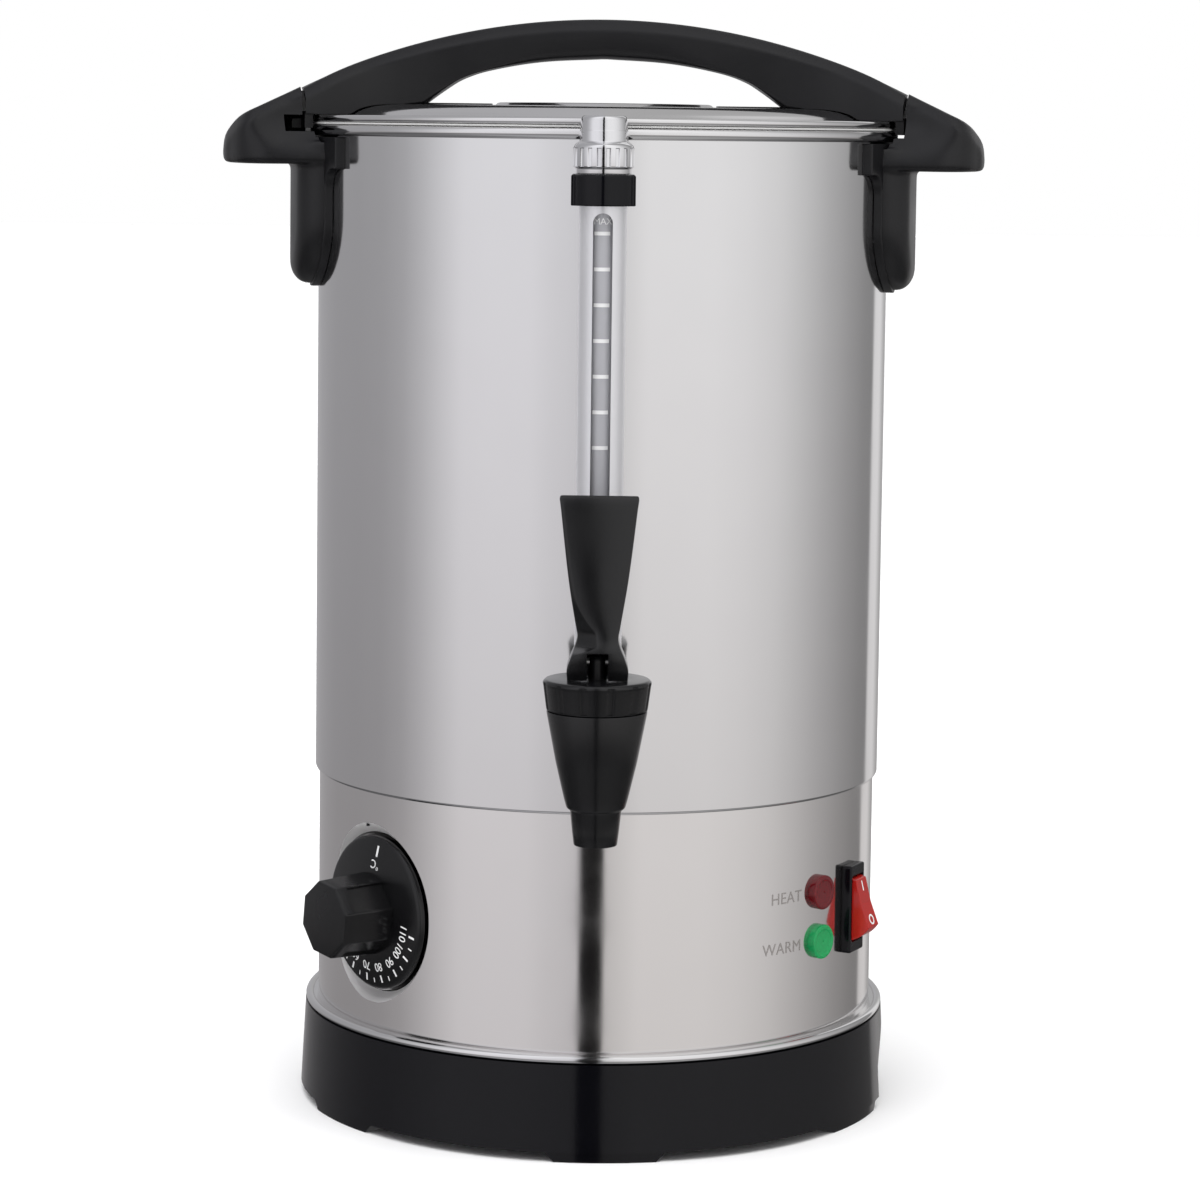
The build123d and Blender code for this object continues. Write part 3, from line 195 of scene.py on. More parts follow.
# ---- meshes ----------------------------------------------------------------------------------
def mesh_of(name, shape):
    """Blender mesh of a shape: metres, merged at the axis, outward normals."""
    mesh = bpy.data.meshes.new(name)
    mesh.from_pydata([Vector(v) * MM for v in shape[0]], [], shape[1])
    tidy = bmesh.new()
    tidy.from_mesh(mesh)
    bmesh.ops.remove_doubles(tidy, verts=tidy.verts, dist=0.002 * MM)
    bmesh.ops.dissolve_degenerate(tidy, edges=tidy.edges, dist=0.001 * MM)
    bmesh.ops.recalc_face_normals(tidy, faces=tidy.faces)
    tidy.to_mesh(mesh)
    tidy.free()
    return mesh


def applied(obj):
    """Replaces the object's mesh by the result of its modifiers."""
    graph = bpy.context.evaluated_depsgraph_get()
    graph.update()
    mesh = bpy.data.meshes.new_from_object(obj.evaluated_get(graph))
    obj.modifiers.clear()
    obj.data = mesh
    return obj


def cut(obj, shape, operation="DIFFERENCE"):
    """Boolean of the object with a shape."""
    tool = bpy.data.objects.new("cutter", mesh_of("cutter", shape))
    bpy.context.scene.collection.objects.link(tool)
    step = obj.modifiers.new("cut", "BOOLEAN")
    step.operation = operation
    step.solver = "EXACT"
    step.object = tool
    applied(obj)
    bpy.data.objects.remove(tool)
    return obj


def finished(obj, material, body, replaces=(), sharp=32):
    """Shades the object and hangs it on its body."""
    obj.data.materials.clear()
    obj.data.materials.append(material)
    obj.data.shade_smooth()
    obj.data.set_sharp_from_angle(angle=math.radians(sharp))
    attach(obj, body)
    if replaces:
        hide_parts(*replaces)
    return obj


def new_object(name, shape):
    """Object of a shape, not yet finished."""
    obj = bpy.data.objects.new(name, mesh_of(name, shape))
    bpy.context.scene.collection.objects.link(obj)
    return obj


def piece(name, shape, material, body, replaces=(), sharp=32):
    """Finished object of a shape."""
    return finished(new_object(name, shape), material, body, replaces, sharp)


def moulded(name, node, material, body, grain=0.45, rounds=6):
    """Moulding with softly rounded edges, grown from the CAD node's own surface."""
    obj = bpy.data.objects.new(name, nodes[node].data.copy())
    bpy.context.scene.collection.objects.link(obj)
    weld = obj.modifiers.new("weld", "WELD")
    weld.merge_threshold = 0.002 * MM
    skin = obj.modifiers.new("skin", "REMESH")
    skin.mode = "VOXEL"
    skin.voxel_size = grain * MM
    ease = obj.modifiers.new("ease", "SMOOTH")
    ease.factor = 0.5
    ease.iterations = rounds
    applied(obj)
    return finished(obj, material, body, (node,), sharp=60)


# ---- materials -------------------------------------------------------------------------------
def node_of(tree, kind, **settings):
    """New shader node with its properties and input values set."""
    made = tree.nodes.new(kind)
    for key, value in settings.items():
        if hasattr(made, key):
            setattr(made, key, value)
        else:
            made.inputs[key.replace("_", " ")].default_value = value
    return made


def coordinates(tree, stretch=(1, 1, 1)):
    """Object coordinates, stretched."""
    source = node_of(tree, "ShaderNodeTexCoord")
    mapping = node_of(tree, "ShaderNodeMapping")
    mapping.inputs["Scale"].default_value = stretch
    tree.links.new(source.outputs["Object"], mapping.inputs["Vector"])
    return mapping.outputs["Vector"]


def noise(tree, scale, detail=3.0, stretch=(1, 1, 1)):
    """Noise whose scale is in features per metre."""
    made = node_of(tree, "ShaderNodeTexNoise", Scale=scale, Detail=detail)
    tree.links.new(coordinates(tree, stretch), made.inputs["Vector"])
    return made.outputs["Fac"]


def ranged(tree, value, from_low, from_high, to_low, to_high):
    """Value carried from one range to another."""
    made = node_of(tree, "ShaderNodeMapRange")
    limits = (from_low, from_high, to_low, to_high)
    for socket, number in zip(("From Min", "From Max", "To Min", "To Max"), limits):
        made.inputs[socket].default_value = number
    tree.links.new(value, made.inputs["Value"])
    return made.outputs["Result"]


def blended(tree, value, first, second):
    """Colour between first and second."""
    made = node_of(tree, "ShaderNodeMix", data_type="RGBA")
    made.inputs[6].default_value = (*first, 1)
    made.inputs[7].default_value = (*second, 1)
    tree.links.new(value, made.inputs[0])
    return made.outputs[2]


def finish_material(name, light, dark, rough, grain=None, patches=40.0, metallic=0.0, **sockets):
    """Principled finish: colour and roughness drift over the surface, with a fine relief.

    grain is (features per metre, relief in metres, stretch)."""
    material = bpy.data.materials.new(name)
    material.use_nodes = True
    tree = material.node_tree
    shader = tree.nodes["Principled BSDF"]
    shader.inputs["Metallic"].default_value = metallic
    for key, value in sockets.items():
        shader.inputs[key.replace("_", " ")].default_value = value
    drift = noise(tree, patches)
    tree.links.new(blended(tree, drift, dark, light), shader.inputs["Base Color"])
    tree.links.new(ranged(tree, drift, 0.3, 0.7, *rough), shader.inputs["Roughness"])
    if grain:
        scale, relief, stretch = grain
        bump = node_of(tree, "ShaderNodeBump")
        bump.inputs["Strength"].default_value = 1.0
        bump.inputs["Distance"].default_value = relief
        tree.links.new(noise(tree, scale, 2.0, stretch), bump.inputs["Height"])
        tree.links.new(bump.outputs["Normal"], shader.inputs["Normal"])
    return material


EVEN = (1, 1, 1)
UPRIGHT = (1, 1, 0.06)
steel = finish_material(
    "polished_steel", (0.80, 0.797, 0.80), (0.765, 0.76, 0.765), (0.07, 0.12),
    (260.0, 0.000004, UPRIGHT), metallic=1.0)
# The housing's steel colour is tinted darker and warmer than the tank's steel as painted reflection: the warm
# beige that the lower housing reflects.
housing_steel_painted_reflection = finish_material(
    "housing_steel_painted_reflection", (0.79, 0.775, 0.768), (0.75, 0.733, 0.725), (0.07, 0.14),
    (220.0, 0.000006, UPRIGHT), metallic=1.0)
pressed_steel = finish_material(
    "pressed_steel", (0.62, 0.61, 0.61), (0.54, 0.53, 0.53), (0.42, 0.5), (900.0, 0.000006, EVEN),
    metallic=0.35)
zinc = finish_material(
    "zinc_steel", (0.62, 0.62, 0.6), (0.5, 0.5, 0.5), (0.3, 0.45), (1500.0, 0.00001, EVEN),
    metallic=1.0)
aluminium = finish_material(
    "aluminium", (0.72, 0.72, 0.73), (0.64, 0.64, 0.65), (0.35, 0.5), (800.0, 0.00002, EVEN),
    metallic=1.0)
silver = finish_material(
    "silver_shield", (0.80, 0.80, 0.82), (0.74, 0.74, 0.76), (0.3, 0.38), (2500.0, 0.000006, EVEN),
    metallic=0.75)
chrome = finish_material(
    "chromed_plastic", (0.86, 0.86, 0.87), (0.80, 0.80, 0.82), (0.06, 0.12),
    (700.0, 0.000006, EVEN), metallic=1.0)
brass = finish_material(
    "brass", (0.72, 0.53, 0.25), (0.62, 0.44, 0.2), (0.25, 0.4), (900.0, 0.00001, EVEN),
    metallic=1.0)
black_satin = finish_material(
    "black_satin", (0.0055, 0.0055, 0.0065), (0.0035, 0.0035, 0.0045), (0.30, 0.40),
    (3200.0, 0.00002, EVEN), Specular_IOR_Level=0.38)
black_gloss = finish_material(
    "black_gloss", (0.0032, 0.0032, 0.0045), (0.002, 0.002, 0.003), (0.07, 0.13),
    (500.0, 0.000008, EVEN), Specular_IOR_Level=0.24)
tap_black = finish_material(
    "tap_black", (0.0045, 0.0045, 0.005), (0.003, 0.003, 0.0035), (0.15, 0.25),
    (900.0, 0.000015, EVEN), Specular_IOR_Level=0.45)
dial_black = finish_material(
    "dial_black", (0.0045, 0.0045, 0.005), (0.003, 0.003, 0.0035), (0.18, 0.28),
    (1400.0, 0.00001, EVEN), Specular_IOR_Level=0.42)
grey_plastic = finish_material(
    "grey_plastic", (0.30, 0.30, 0.30), (0.25, 0.25, 0.25), (0.4, 0.55), (1500.0, 0.00002, EVEN))
ceramic = finish_material(
    "cream_ceramic", (0.75, 0.70, 0.60), (0.68, 0.63, 0.53), (0.4, 0.6), (1200.0, 0.00002, EVEN))
silicone = finish_material(
    "silicone", (0.55, 0.55, 0.54), (0.48, 0.48, 0.47), (0.45, 0.6), (1200.0, 0.00001, EVEN))
leads = finish_material(
    "lead_insulation", (0.5, 0.1, 0.06), (0.4, 0.07, 0.05), (0.4, 0.5), (900.0, 0.00001, EVEN))
print_white = finish_material(
    "print_white", (0.80, 0.80, 0.80), (0.70, 0.70, 0.70), (0.4, 0.5), (1500.0, 0.000004, EVEN))
etched = finish_material(
    "etched_label", (0.52, 0.49, 0.47), (0.40, 0.38, 0.37), (0.3, 0.45),
    (900.0, 0.00001, EVEN), metallic=0.9)
tube_grey = finish_material(
    "clear_tube", (0.60, 0.60, 0.63), (0.52, 0.52, 0.55), (0.12, 0.2), (600.0, 0.00001, EVEN),
    Transmission_Weight=0.35, IOR=1.49)
red_lens = finish_material(
    "red_lens", (0.16, 0.004, 0.008), (0.10, 0.002, 0.005), (0.10, 0.16), (500.0, 0.000002, EVEN),
    Transmission_Weight=0.25, IOR=1.49)
green_lens = finish_material(
    "green_lens", (0.006, 0.36, 0.10), (0.004, 0.26, 0.07), (0.10, 0.16), (500.0, 0.000002, EVEN),
    Transmission_Weight=0.25, IOR=1.49)
switch_red = finish_material(
    "switch_red", (0.62, 0.022, 0.014), (0.46, 0.012, 0.010), (0.1, 0.18), (600.0, 0.00001, EVEN),
    Transmission_Weight=0.4, IOR=1.49)
pale_floor = finish_material(
    "pale_floor", (0.93, 0.93, 0.93), (0.92, 0.92, 0.92), (0.7, 0.8), None, 2.0)

CARRIED = {
    "polished_steel": steel, "zinc_steel": zinc, "aluminium": aluminium,
    "black_satin": black_satin, "black_gloss": black_gloss, "grey_plastic": grey_plastic,
    "cream_ceramic": ceramic, "brass": brass, "silicone": silicone,
    "lead_insulation": leads, "clear_tube": tube_grey, "chromed_plastic": chrome,
    "red_lens": red_lens, "green_lens": green_lens, "switch_red": switch_red,
}
part_slots = {part["node"]: part["material_slot"] for part in frame["record"]["subparts"]}
for name, obj in nodes.items():
    obj.data.materials.clear()
    obj.data.materials.append(CARRIED[part_slots[name]])

# ---- tank and lid ----------------------------------------------------------------------------
wall = TANK_R - SHEET
turn_in = math.degrees(math.acos((TANK_R - RIM_R) / RIM_WIRE))
tank_outline = (
    [(0, TANK_FLOOR), (wall, TANK_FLOOR), (wall, TANK_BOTTOM + 0.5)]
    + arc((TANK_R - 1.2, TANK_BOTTOM + 1.2), 1.2, -70, 0, 8)
    + arc((RIM_R, RIM_Z), RIM_WIRE, -turn_in, 180 - 8, 28)
    + [(wall, RIM_Z - 1), (wall, TANK_FLOOR + 4)]
    + arc((wall - 3, TANK_FLOOR + SHEET + 3), 3, 0, -90, 6)
    + [(0, TANK_FLOOR + SHEET)]
)
piece("tank_skin", lathe(tank_outline, 360), steel, "kettle", ("tank",))

shoulder = [(81.5, LID_PLATEAU), (84.5, LID_PLATEAU - 0.12), (88.5, LID_PLATEAU - 0.55),
            (92.0, LID_PLATEAU - 1.2), (95.0, LID_PLATEAU - 2.15), (97.4, LID_PLATEAU - 3.3),
            (98.8, LID_FLANGE + 0.5), (99.8, LID_FLANGE + 0.08), (101.0, LID_FLANGE)]
lid_top_line = ([(0, LID_TOP), (40.4, LID_TOP), (41.3, LID_TOP - 0.25), (42.3, LID_PLATEAU + 0.2),
                 (43.4, LID_PLATEAU)] + shoulder)
lid_outline = (
    [(r, z - 0.7) for r, z in lid_top_line] + [(109.4, LID_FLANGE - 0.7)]
    + arc((LID_EDGE_R, LID_EDGE_Z), LID_WIRE, -170, 140, 28)
    + [(109.9, LID_FLANGE)] + lid_top_line[::-1]
)
piece("lid_skin", lathe(lid_outline, 360), steel, "lid", ("lid_pan",))

# ---- housing and base ring -------------------------------------------------------------------
rows = [HOUSING_BOTTOM + (HOUSING_TOP - HOUSING_BOTTOM) * k / 14 for k in range(15)]
housing_outline = ([(96, HOUSING_BOTTOM)] + [(HOUSING_R, z) for z in rows]
                   + [(HOUSING_R - SHEET, z) for z in rows[:0:-1]]
                   + [(HOUSING_R - SHEET, HOUSING_BOTTOM + SHEET), (96, HOUSING_BOTTOM + SHEET)])
housing = new_object("housing_skin", lathe(housing_outline, 360))
well = brick((-5.9, -14.7, -12), (5.9, 14.7, 6))
cut(housing, moved(well, facing(SWITCH_ANGLE, SWITCH_Z, HOUSING_R)))
socket = brick((-13.5, -10.1, -12), (13.5, 10.1, 6))
cut(housing, moved(socket, facing(180, INLET_Z, HOUSING_R)))
AT_DIAL = facing(DIAL_ANGLE, DIAL_Z)
plug_line = [(0, PAD_FACE - SHEET), (PAD_R + PAD_WALL, PAD_FACE - SHEET), (PAD_R + PAD_WALL, 112), (0, 112)]
plug = new_object("plug", moved(lathe(plug_line, 128), AT_DIAL))
cut(plug, lathe([(0, 0), (HOUSING_R - 0.05, 0), (HOUSING_R - 0.05, 200), (0, 200)], 256), "INTERSECT")
fuse = housing.modifiers.new("fuse", "BOOLEAN")
fuse.operation = "UNION"
fuse.solver = "EXACT"
fuse.object = plug
applied(housing)
bpy.data.objects.remove(plug)
flat = lathe([(0, PAD_FACE), (29.4, PAD_FACE), (30.2, PAD_FACE + 0.25), (31.2, PAD_FACE + 1.2),
              (32.2, PAD_FACE + 2.5), (33.0, PAD_FACE + 3.6), (33.9, PAD_FACE + 4.3), (34.3, PAD_FACE + 16),
              (0, PAD_FACE + 16)], 200)
cut(housing, moved(flat, AT_DIAL))
finished(housing, housing_steel_painted_reflection, "kettle", ("lower_shell",))
housing.data.materials.append(pressed_steel)
from_dial = AT_DIAL.inverted()
SLOPING = 0.93                                  # the pad's wall leans more than this cosine
for face in housing.data.polygons:
    x, y, depth = from_dial @ (face.center / MM)
    square = (from_dial.to_3x3() @ face.normal).z
    if 29.3 < math.hypot(x, y) < PAD_R + 3.4 and depth > PAD_FACE + 0.02 and square < SLOPING:
        face.material_index = 1

trim_outline = (
    [(96, BASE_TOP + 0.8), (96, BASE_TOP)]
    + arc((TRIM_R - TRIM_WIRE, BASE_TOP + TRIM_WIRE), TRIM_WIRE, -100, 150, 24)
)
piece("trim_skin", lathe(trim_outline, 360), steel, "kettle", ("base_trim_ring",))

# ---- bow handle ------------------------------------------------------------------------------
BOW_TOP = high("lid_handle").z
BOW_END_R = 117.3
BOW_HALF = ((0, 13.0), (40, 13.6), (70, 15.0), (90, 18.5), (107, 27.0), (122, 33.0))
BOW_BAND = ((0, 411.3), (22, 408.9), (42, 401.4), (61, 393.2), (77, 386.0))
BOW_ARCH = ((0, 403.8), (25, 402.3), (45, 398.8), (55, 395.4), (62, 391.0), (69.6, 385.3))
BEVEL = 4.3
LID_LINE = ((0, LID_PLATEAU), (81.5, LID_PLATEAU), (88.5, LID_PLATEAU - 0.55), (92.0, LID_PLATEAU - 1.2),
            (95.0, LID_PLATEAU - 2.15), (98.8, LID_PLATEAU - 4.0), (130, LID_PLATEAU - 4.0))


def through(points, x):
    """Smooth curve through (x, y) points."""
    if x <= points[0][0]:
        return points[0][1]
    for k in range(len(points) - 1):
        if x <= points[k + 1][0]:
            break
    else:
        return points[-1][1]
    (x0, y0), (x1, y1) = points[k], points[k + 1]
    before = points[max(k - 1, 0)]
    after = points[min(k + 2, len(points) - 1)]
    slope0 = (y1 - before[1]) / (x1 - before[0])
    slope1 = (after[1] - y0) / (after[0] - x0)
    t, span = (x - x0) / (x1 - x0), x1 - x0
    return (y0 * (2 * t ** 3 - 3 * t ** 2 + 1) + y1 * (3 * t ** 2 - 2 * t ** 3)
            + slope0 * span * (t ** 3 - 2 * t ** 2 + t) + slope1 * span * (t ** 3 - t ** 2))


def eased(value, start, end):
    """0 before start, 1 after end, smooth between them."""
    t = min(max((value - start) / (end - start), 0), 1)
    return t * t * (3 - 2 * t)


def bow_section(x):
    """Cross-section of the bow at a distance from the axis, as (y, z)."""
    near = abs(x)
    top = BOW_TOP - 263.3 + math.sqrt(263 ** 2 - near ** 2)
    half = through(BOW_HALF, near)
    lid = through(LID_LINE, math.hypot(near, half * 0.6))
    bottom = through(BOW_ARCH, near) if near < 69.6 else lid
    band = max(through(BOW_BAND, near), bottom + 0.3) if near < 77 else bottom + 0.3
    tuck = 6.0 * min((band - bottom) / 7.4, 1)
    right = [(half - BEVEL, top), (half, top - BEVEL - 0.2), (half, band)]
    for k in (1, 2, 3):
        a = math.radians(30 * k)
        right.append((half - tuck * (1 - math.cos(a)), band - (band - bottom) * math.sin(a)))
    outline = [(-y, z) for y, z in right[::-1]] + [(0, top + 0.25)] + right
    return softened([(y, z) for y, z in outline], 0.9, 2)


def bow_ring(x):
    """Section points carried to their place, with the ends bent round the kettle's axis."""
    ring = []
    bend = eased(abs(x), 84, BOW_END_R)
    for y, z in bow_section(x):
        round_end = math.sqrt(BOW_END_R ** 2 - y * y) / BOW_END_R
        ring.append((x * (1 + (round_end - 1) * bend), y, z))
    return ring


def curved_block(r0, r1, z0, z1, half, side, steps=16, round_edges=0.4):
    """Block bent round the kettle's axis, on the +X (1) or -X (-1) side."""
    rings = []
    reach = math.asin(half / r1)
    for k in range(steps + 1):
        a = -reach + 2 * reach * k / steps
        section = softened([(r0, z0), (r1, z0), (r1, z1), (r0, z1)], round_edges, 2)
        rings.append([(side * r * math.cos(a), r * math.sin(a), z) for r, z in section])
    return lofted(rings)


stations = [x for x in range(-117, 118, 2) if abs(x) < 55] + [
    side * (55 + k) for side in (-1, 1) for k in range(0, 62)] + [BOW_END_R, -BOW_END_R]
bow_parts = [lofted([bow_ring(x) for x in sorted(set(stations))])]
for side in (-1, 1):
    bow_parts.append(curved_block(114.2, BOW_END_R, low("lid_handle").z, 382.4, 29, side))
    bow_parts.append(curved_block(114.2, 120.8, low("lid_handle").z, 379.4, 18, side))
    strip_top = LID_PLATEAU + 0.8
    strip = softened([(-8, LID_PLATEAU), (8, LID_PLATEAU), (8, strip_top), (-8, strip_top)], 0.4, 2)
    bow_parts.append(lofted([[(side * x, y, z) for y, z in strip] for x in (43.5, 60, 78)]))
piece("bow", joined(*bow_parts), black_satin, "lid", ("lid_handle",), 38)

# ---- side handles ----------------------------------------------------------------------------
PADDLE_BOTTOM = low("side_handle_right").z + 1.0
PADDLE_HALF = 42.0
PADDLE_CORNER = 26.0
PADDLE_OUT = 121.0
SEAM_R = 113.3
EAR_TIP = high("side_handle_right").x - 1.3
EAR_BOTTOM = 362.4
EAR_TOP = ((104, 397.3), (117.6, 390.5), (130, 384.3), (138, 380.2), (142, 376.6), (145.4, 372.0),
           (EAR_TIP, 367.6))
EAR_UNDER = ((104, EAR_BOTTOM), (142, EAR_BOTTOM), (145.3, EAR_BOTTOM + 0.9), (EAR_TIP, EAR_BOTTOM + 4.2))
EAR_ROUNDING = ((135, 40.5), (138.3, 37.0), (141.7, 31.0), (144.5, 25.0), (146.1, 16.0), (EAR_TIP, 8.0))
EAR_LOW_HALF = ((104, 43.4), (124, 43.9), (130, 43.4)) + EAR_ROUNDING
EAR_HIGH_HALF = ((104, 30.0), (118, 33.0), (126, 37.5), (132, 40.4)) + EAR_ROUNDING


def ear_ring(x):
    """Cross-section of an ear: narrow above the rim, broad below it, bevelled along the top."""
    top, under = through(EAR_TOP, x), through(EAR_UNDER, x)
    count, sides = 22, []
    for k in range(count + 1):
        z = under + (top - under) * k / count
        half = through(EAR_LOW_HALF, x)
        half += (through(EAR_HIGH_HALF, x) - half) * eased(z, 364, 382)
        half -= max(0, z - (top - 4.6)) * 0.85
        half -= 1.6 * (1 - min((z - under) / 2.2, 1)) ** 2
        sides.append((max(half, 1.0), z))
    outline = sides + [(0, top + 0.2)] + [(-half, z) for half, z in sides[::-1]] + [(0, under)]
    return [(x, y, z) for y, z in outline]


def paddle():
    """Tongue that lies along the tank below an ear: a curved plate with pillowed edges."""
    rows, columns = 60, 44
    inner, outer = [], []
    for j in range(rows + 1):
        z = PADDLE_BOTTOM + 0.05 + (371 - PADDLE_BOTTOM) * (j / rows) ** 1.25
        drop = max(PADDLE_BOTTOM + PADDLE_CORNER - z, 0)
        half = PADDLE_HALF - PADDLE_CORNER + math.sqrt(max(PADDLE_CORNER ** 2 - drop ** 2, 0))
        for i in range(columns + 1):
            y = half * math.sin(math.pi * (i / columns - 0.5))
            beside, below = abs(y) - (PADDLE_HALF - PADDLE_CORNER), PADDLE_BOTTOM + PADDLE_CORNER - z
            corner = math.hypot(max(beside, 0), max(below, 0)) + min(max(beside, below), 0)
            t = min(max(PADDLE_CORNER - corner, 0) / 8.5, 1)
            radius = SEAM_R + 1.0 + (PADDLE_OUT - SEAM_R - 1.0) * math.sqrt(1 - (1 - t) ** 2)
            outer.append((math.sqrt(radius ** 2 - y * y), y, z))
            inner.append((math.sqrt((SEAM_R - 3) ** 2 - y * y), y, z))
    verts, faces, shift = outer + inner, [], len(outer)
    wide = columns + 1
    for j in range(rows):
        for i in range(columns):
            a, b = j * wide + i, (j + 1) * wide + i
            faces.append((a, a + 1, b + 1, b))
            faces.append((shift + a, shift + b, shift + b + 1, shift + a + 1))
        for i, flip in ((0, False), (columns, True)):
            a, b = j * wide + i, (j + 1) * wide + i
            face = (a, b, shift + b, shift + a)
            faces.append(face[::-1] if flip else face)
    for i in range(columns):
        top = rows * wide + i
        faces.append((i + 1, i, shift + i, shift + i + 1))
        faces.append((top, top + 1, shift + top + 1, shift + top))
    return verts, faces


def sector(r0, r1, z0, z1, first, last, steps=30):
    """Part of a ring about Z, between two angles from +X."""
    rings = []
    for k in range(steps + 1):
        a = math.radians(first + (last - first) * k / steps)
        section = ((r0, z0), (r1, z0), (r1, z1), (r0, z1))
        rings.append([(r * math.cos(a), r * math.sin(a), z) for r, z in section])
    return lofted(rings)


def grip(name):
    """Right side handle: ear and paddle melted together, then cut clear of rim and tongue."""
    ear_stations = [104 + k * 1.5 for k in range(25)] + [140.6 + 0.6 * k for k in range(11)] + [EAR_TIP]
    obj = new_object(name, joined(lofted([ear_ring(x) for x in ear_stations]), paddle()))
    skin = obj.modifiers.new("skin", "REMESH")
    skin.mode = "VOXEL"
    skin.voxel_size = 0.75 * MM
    ease = obj.modifiers.new("ease", "SMOOTH")
    ease.iterations = 16
    applied(obj)
    inside = [(0, 300), (SEAM_R, 300), (SEAM_R, 370.6), (114.2, 370.6), (114.2, 372.6), (115.2, 372.6),
              (115.2, 374.6), (118.8, 374.6), (118.8, 420), (0, 420)]
    cut(obj, lathe(inside, 256))
    cut(obj, sector(112, 126, 374.6, 380.9, -9.3, 60))
    pocket = []
    for z, start, end, half in (
            (350, 126, 143, 34), (364, 126, 143, 34), (370, 127, 140.5, 33), (373, 129, 138, 30)):
        plan = softened([(start, -half), (end - 8, -half), (end - 2, -half + 10), (end, -half + 18),
                         (end, half - 18), (end - 2, half - 10), (end - 8, half), (start, half)], 4, 3)
        pocket.append([(x, y, z) for x, y in plan])
    return cut(obj, lofted(pocket))


right_grip = grip("grip_right")
left_grip = bpy.data.objects.new("grip_left", right_grip.data.copy())
bpy.context.scene.collection.objects.link(left_grip)
left_grip.data.transform(Matrix.Rotation(math.pi, 4, "Z"))
finished(right_grip, black_satin, "kettle", ("side_handle_right",), 42)
finished(left_grip, black_satin, "kettle", ("side_handle_left",), 42)
for side in ("right", "left"):
    moulded(f"saddle_{side}", f"handle_saddle_{side}", black_satin, "kettle", 0.4, 4)

# ---- tap -------------------------------------------------------------------------------------
PIN_Z = (low("tap_pin").z + high("tap_pin").z) / 2
LEVER_TOP = high("tap_lever").z
BONNET_TOP = high("tap_bonnet").z
BONNET_LOW = low("tap_bonnet").z
SPOUT_Z = low("tap_body").z
AT_TAP = Matrix.Translation((0, TAP_Y, 0))
LEVER_HALF = ((-6.0, 10.6), (-2.0, 10.8), (2.5, 9.4), (6.0, 7.9), (8.8, 7.2), (12, 7.7), (30, 10.6),
              (59.4, 14.1))
LEVER_FRONT = ((-6.0, -7.6), (-2.0, -8.6), (4.5, -9.2), (9.0, -6.5), (25, -4.9), (56, -2.4), (59.4, -1.2))
LEVER_BACK = ((-6.0, 5.2), (5.0, 5.6), (57, 2.0), (59.4, 1.2))
LEVER_CREASE = ((-6.0, 0.9), (3.0, 1.2), (6.0, 7.4), (9.5, 7.6), (14, 4.4), (20, 2.0), (28, 1.2), (59.4, 0.9))


def lever():
    """Fan-shaped lever with a scooped left edge and a forked foot."""
    top = LEVER_TOP - PIN_Z
    foot = low("tap_lever").z - PIN_Z
    levels = ([foot + 0.2] + [-5 + k for k in range(20)] + [16 + 2 * k for k in range(21)]
              + [top - 1.4, top - 0.5, top])
    rings = []
    for z in levels:
        half, front, back = through(LEVER_HALF, z), through(LEVER_FRONT, z), through(LEVER_BACK, z)
        shrink = max(0, z - top + 0.8) * 0.6
        half, front, back = half - shrink, front + shrink, back - shrink
        crease = min(through(LEVER_CREASE, z), half - 0.3)
        side_y = front + 0.55 * (back - front) * min(crease / 6, 1)
        plan = [(half, back), (-half, back), (-half, side_y), (-half + crease, front), (half, front)]
        arch = -0.9 * (z / top) if z > top - 6 else 0
        ring = softened([(x, y) for x, y in plan], 0.6, 2)
        rings.append([(x, y, PIN_Z + z + arch * (x / half) ** 2 * eased(z, top - 6, top)) for x, y in ring])
    return lofted(rings)


lever_piece = new_object("lever", moved(lever(), AT_TAP))
AT_PIN = AT_TAP @ Matrix.Translation((0, 0, PIN_Z))
cut(lever_piece, moved(brick((-3.75, -20, -20), (3.75, 3.5, 4.0)), AT_PIN))
finished(lever_piece, tap_black, "tap_lever", ("tap_lever",), 30)


def fluted(shape, count, depth, share, bottom, top, radius):
    """Presses upright grooves into the part of a turned shape beyond a radius."""
    verts = []
    for x, y, z in shape[0]:
        r, a = math.hypot(x, y), math.atan2(y, x)
        if r > radius and bottom <= z <= top:
            phase = abs((a * count / (2 * math.pi)) % 1 - 0.5) * 2
            r -= depth * (1 - eased(phase, share, share + 0.22))
        verts.append((r * math.cos(a), r * math.sin(a), z))
    return verts, shape[1]


bonnet_line = softened([
    (3.3, BONNET_TOP - 3), (15.4, BONNET_TOP - 3), (15.4, BONNET_LOW), (17.85, BONNET_LOW),
    (18.0, BONNET_LOW + 1.0), (19.05, BONNET_TOP - 2.0), (19.3, BONNET_TOP - 1.1), (18.3, BONNET_TOP),
    (3.3, BONNET_TOP),
], 0.5, 2)
bonnet = fluted(lathe(bonnet_line, 288), 12, 0.55, 0.12, BONNET_LOW + 0.5, BONNET_TOP - 1.0, 16.5)
piece("bonnet", moved(bonnet, AT_TAP), tap_black, "kettle", ("tap_bonnet",), 36)

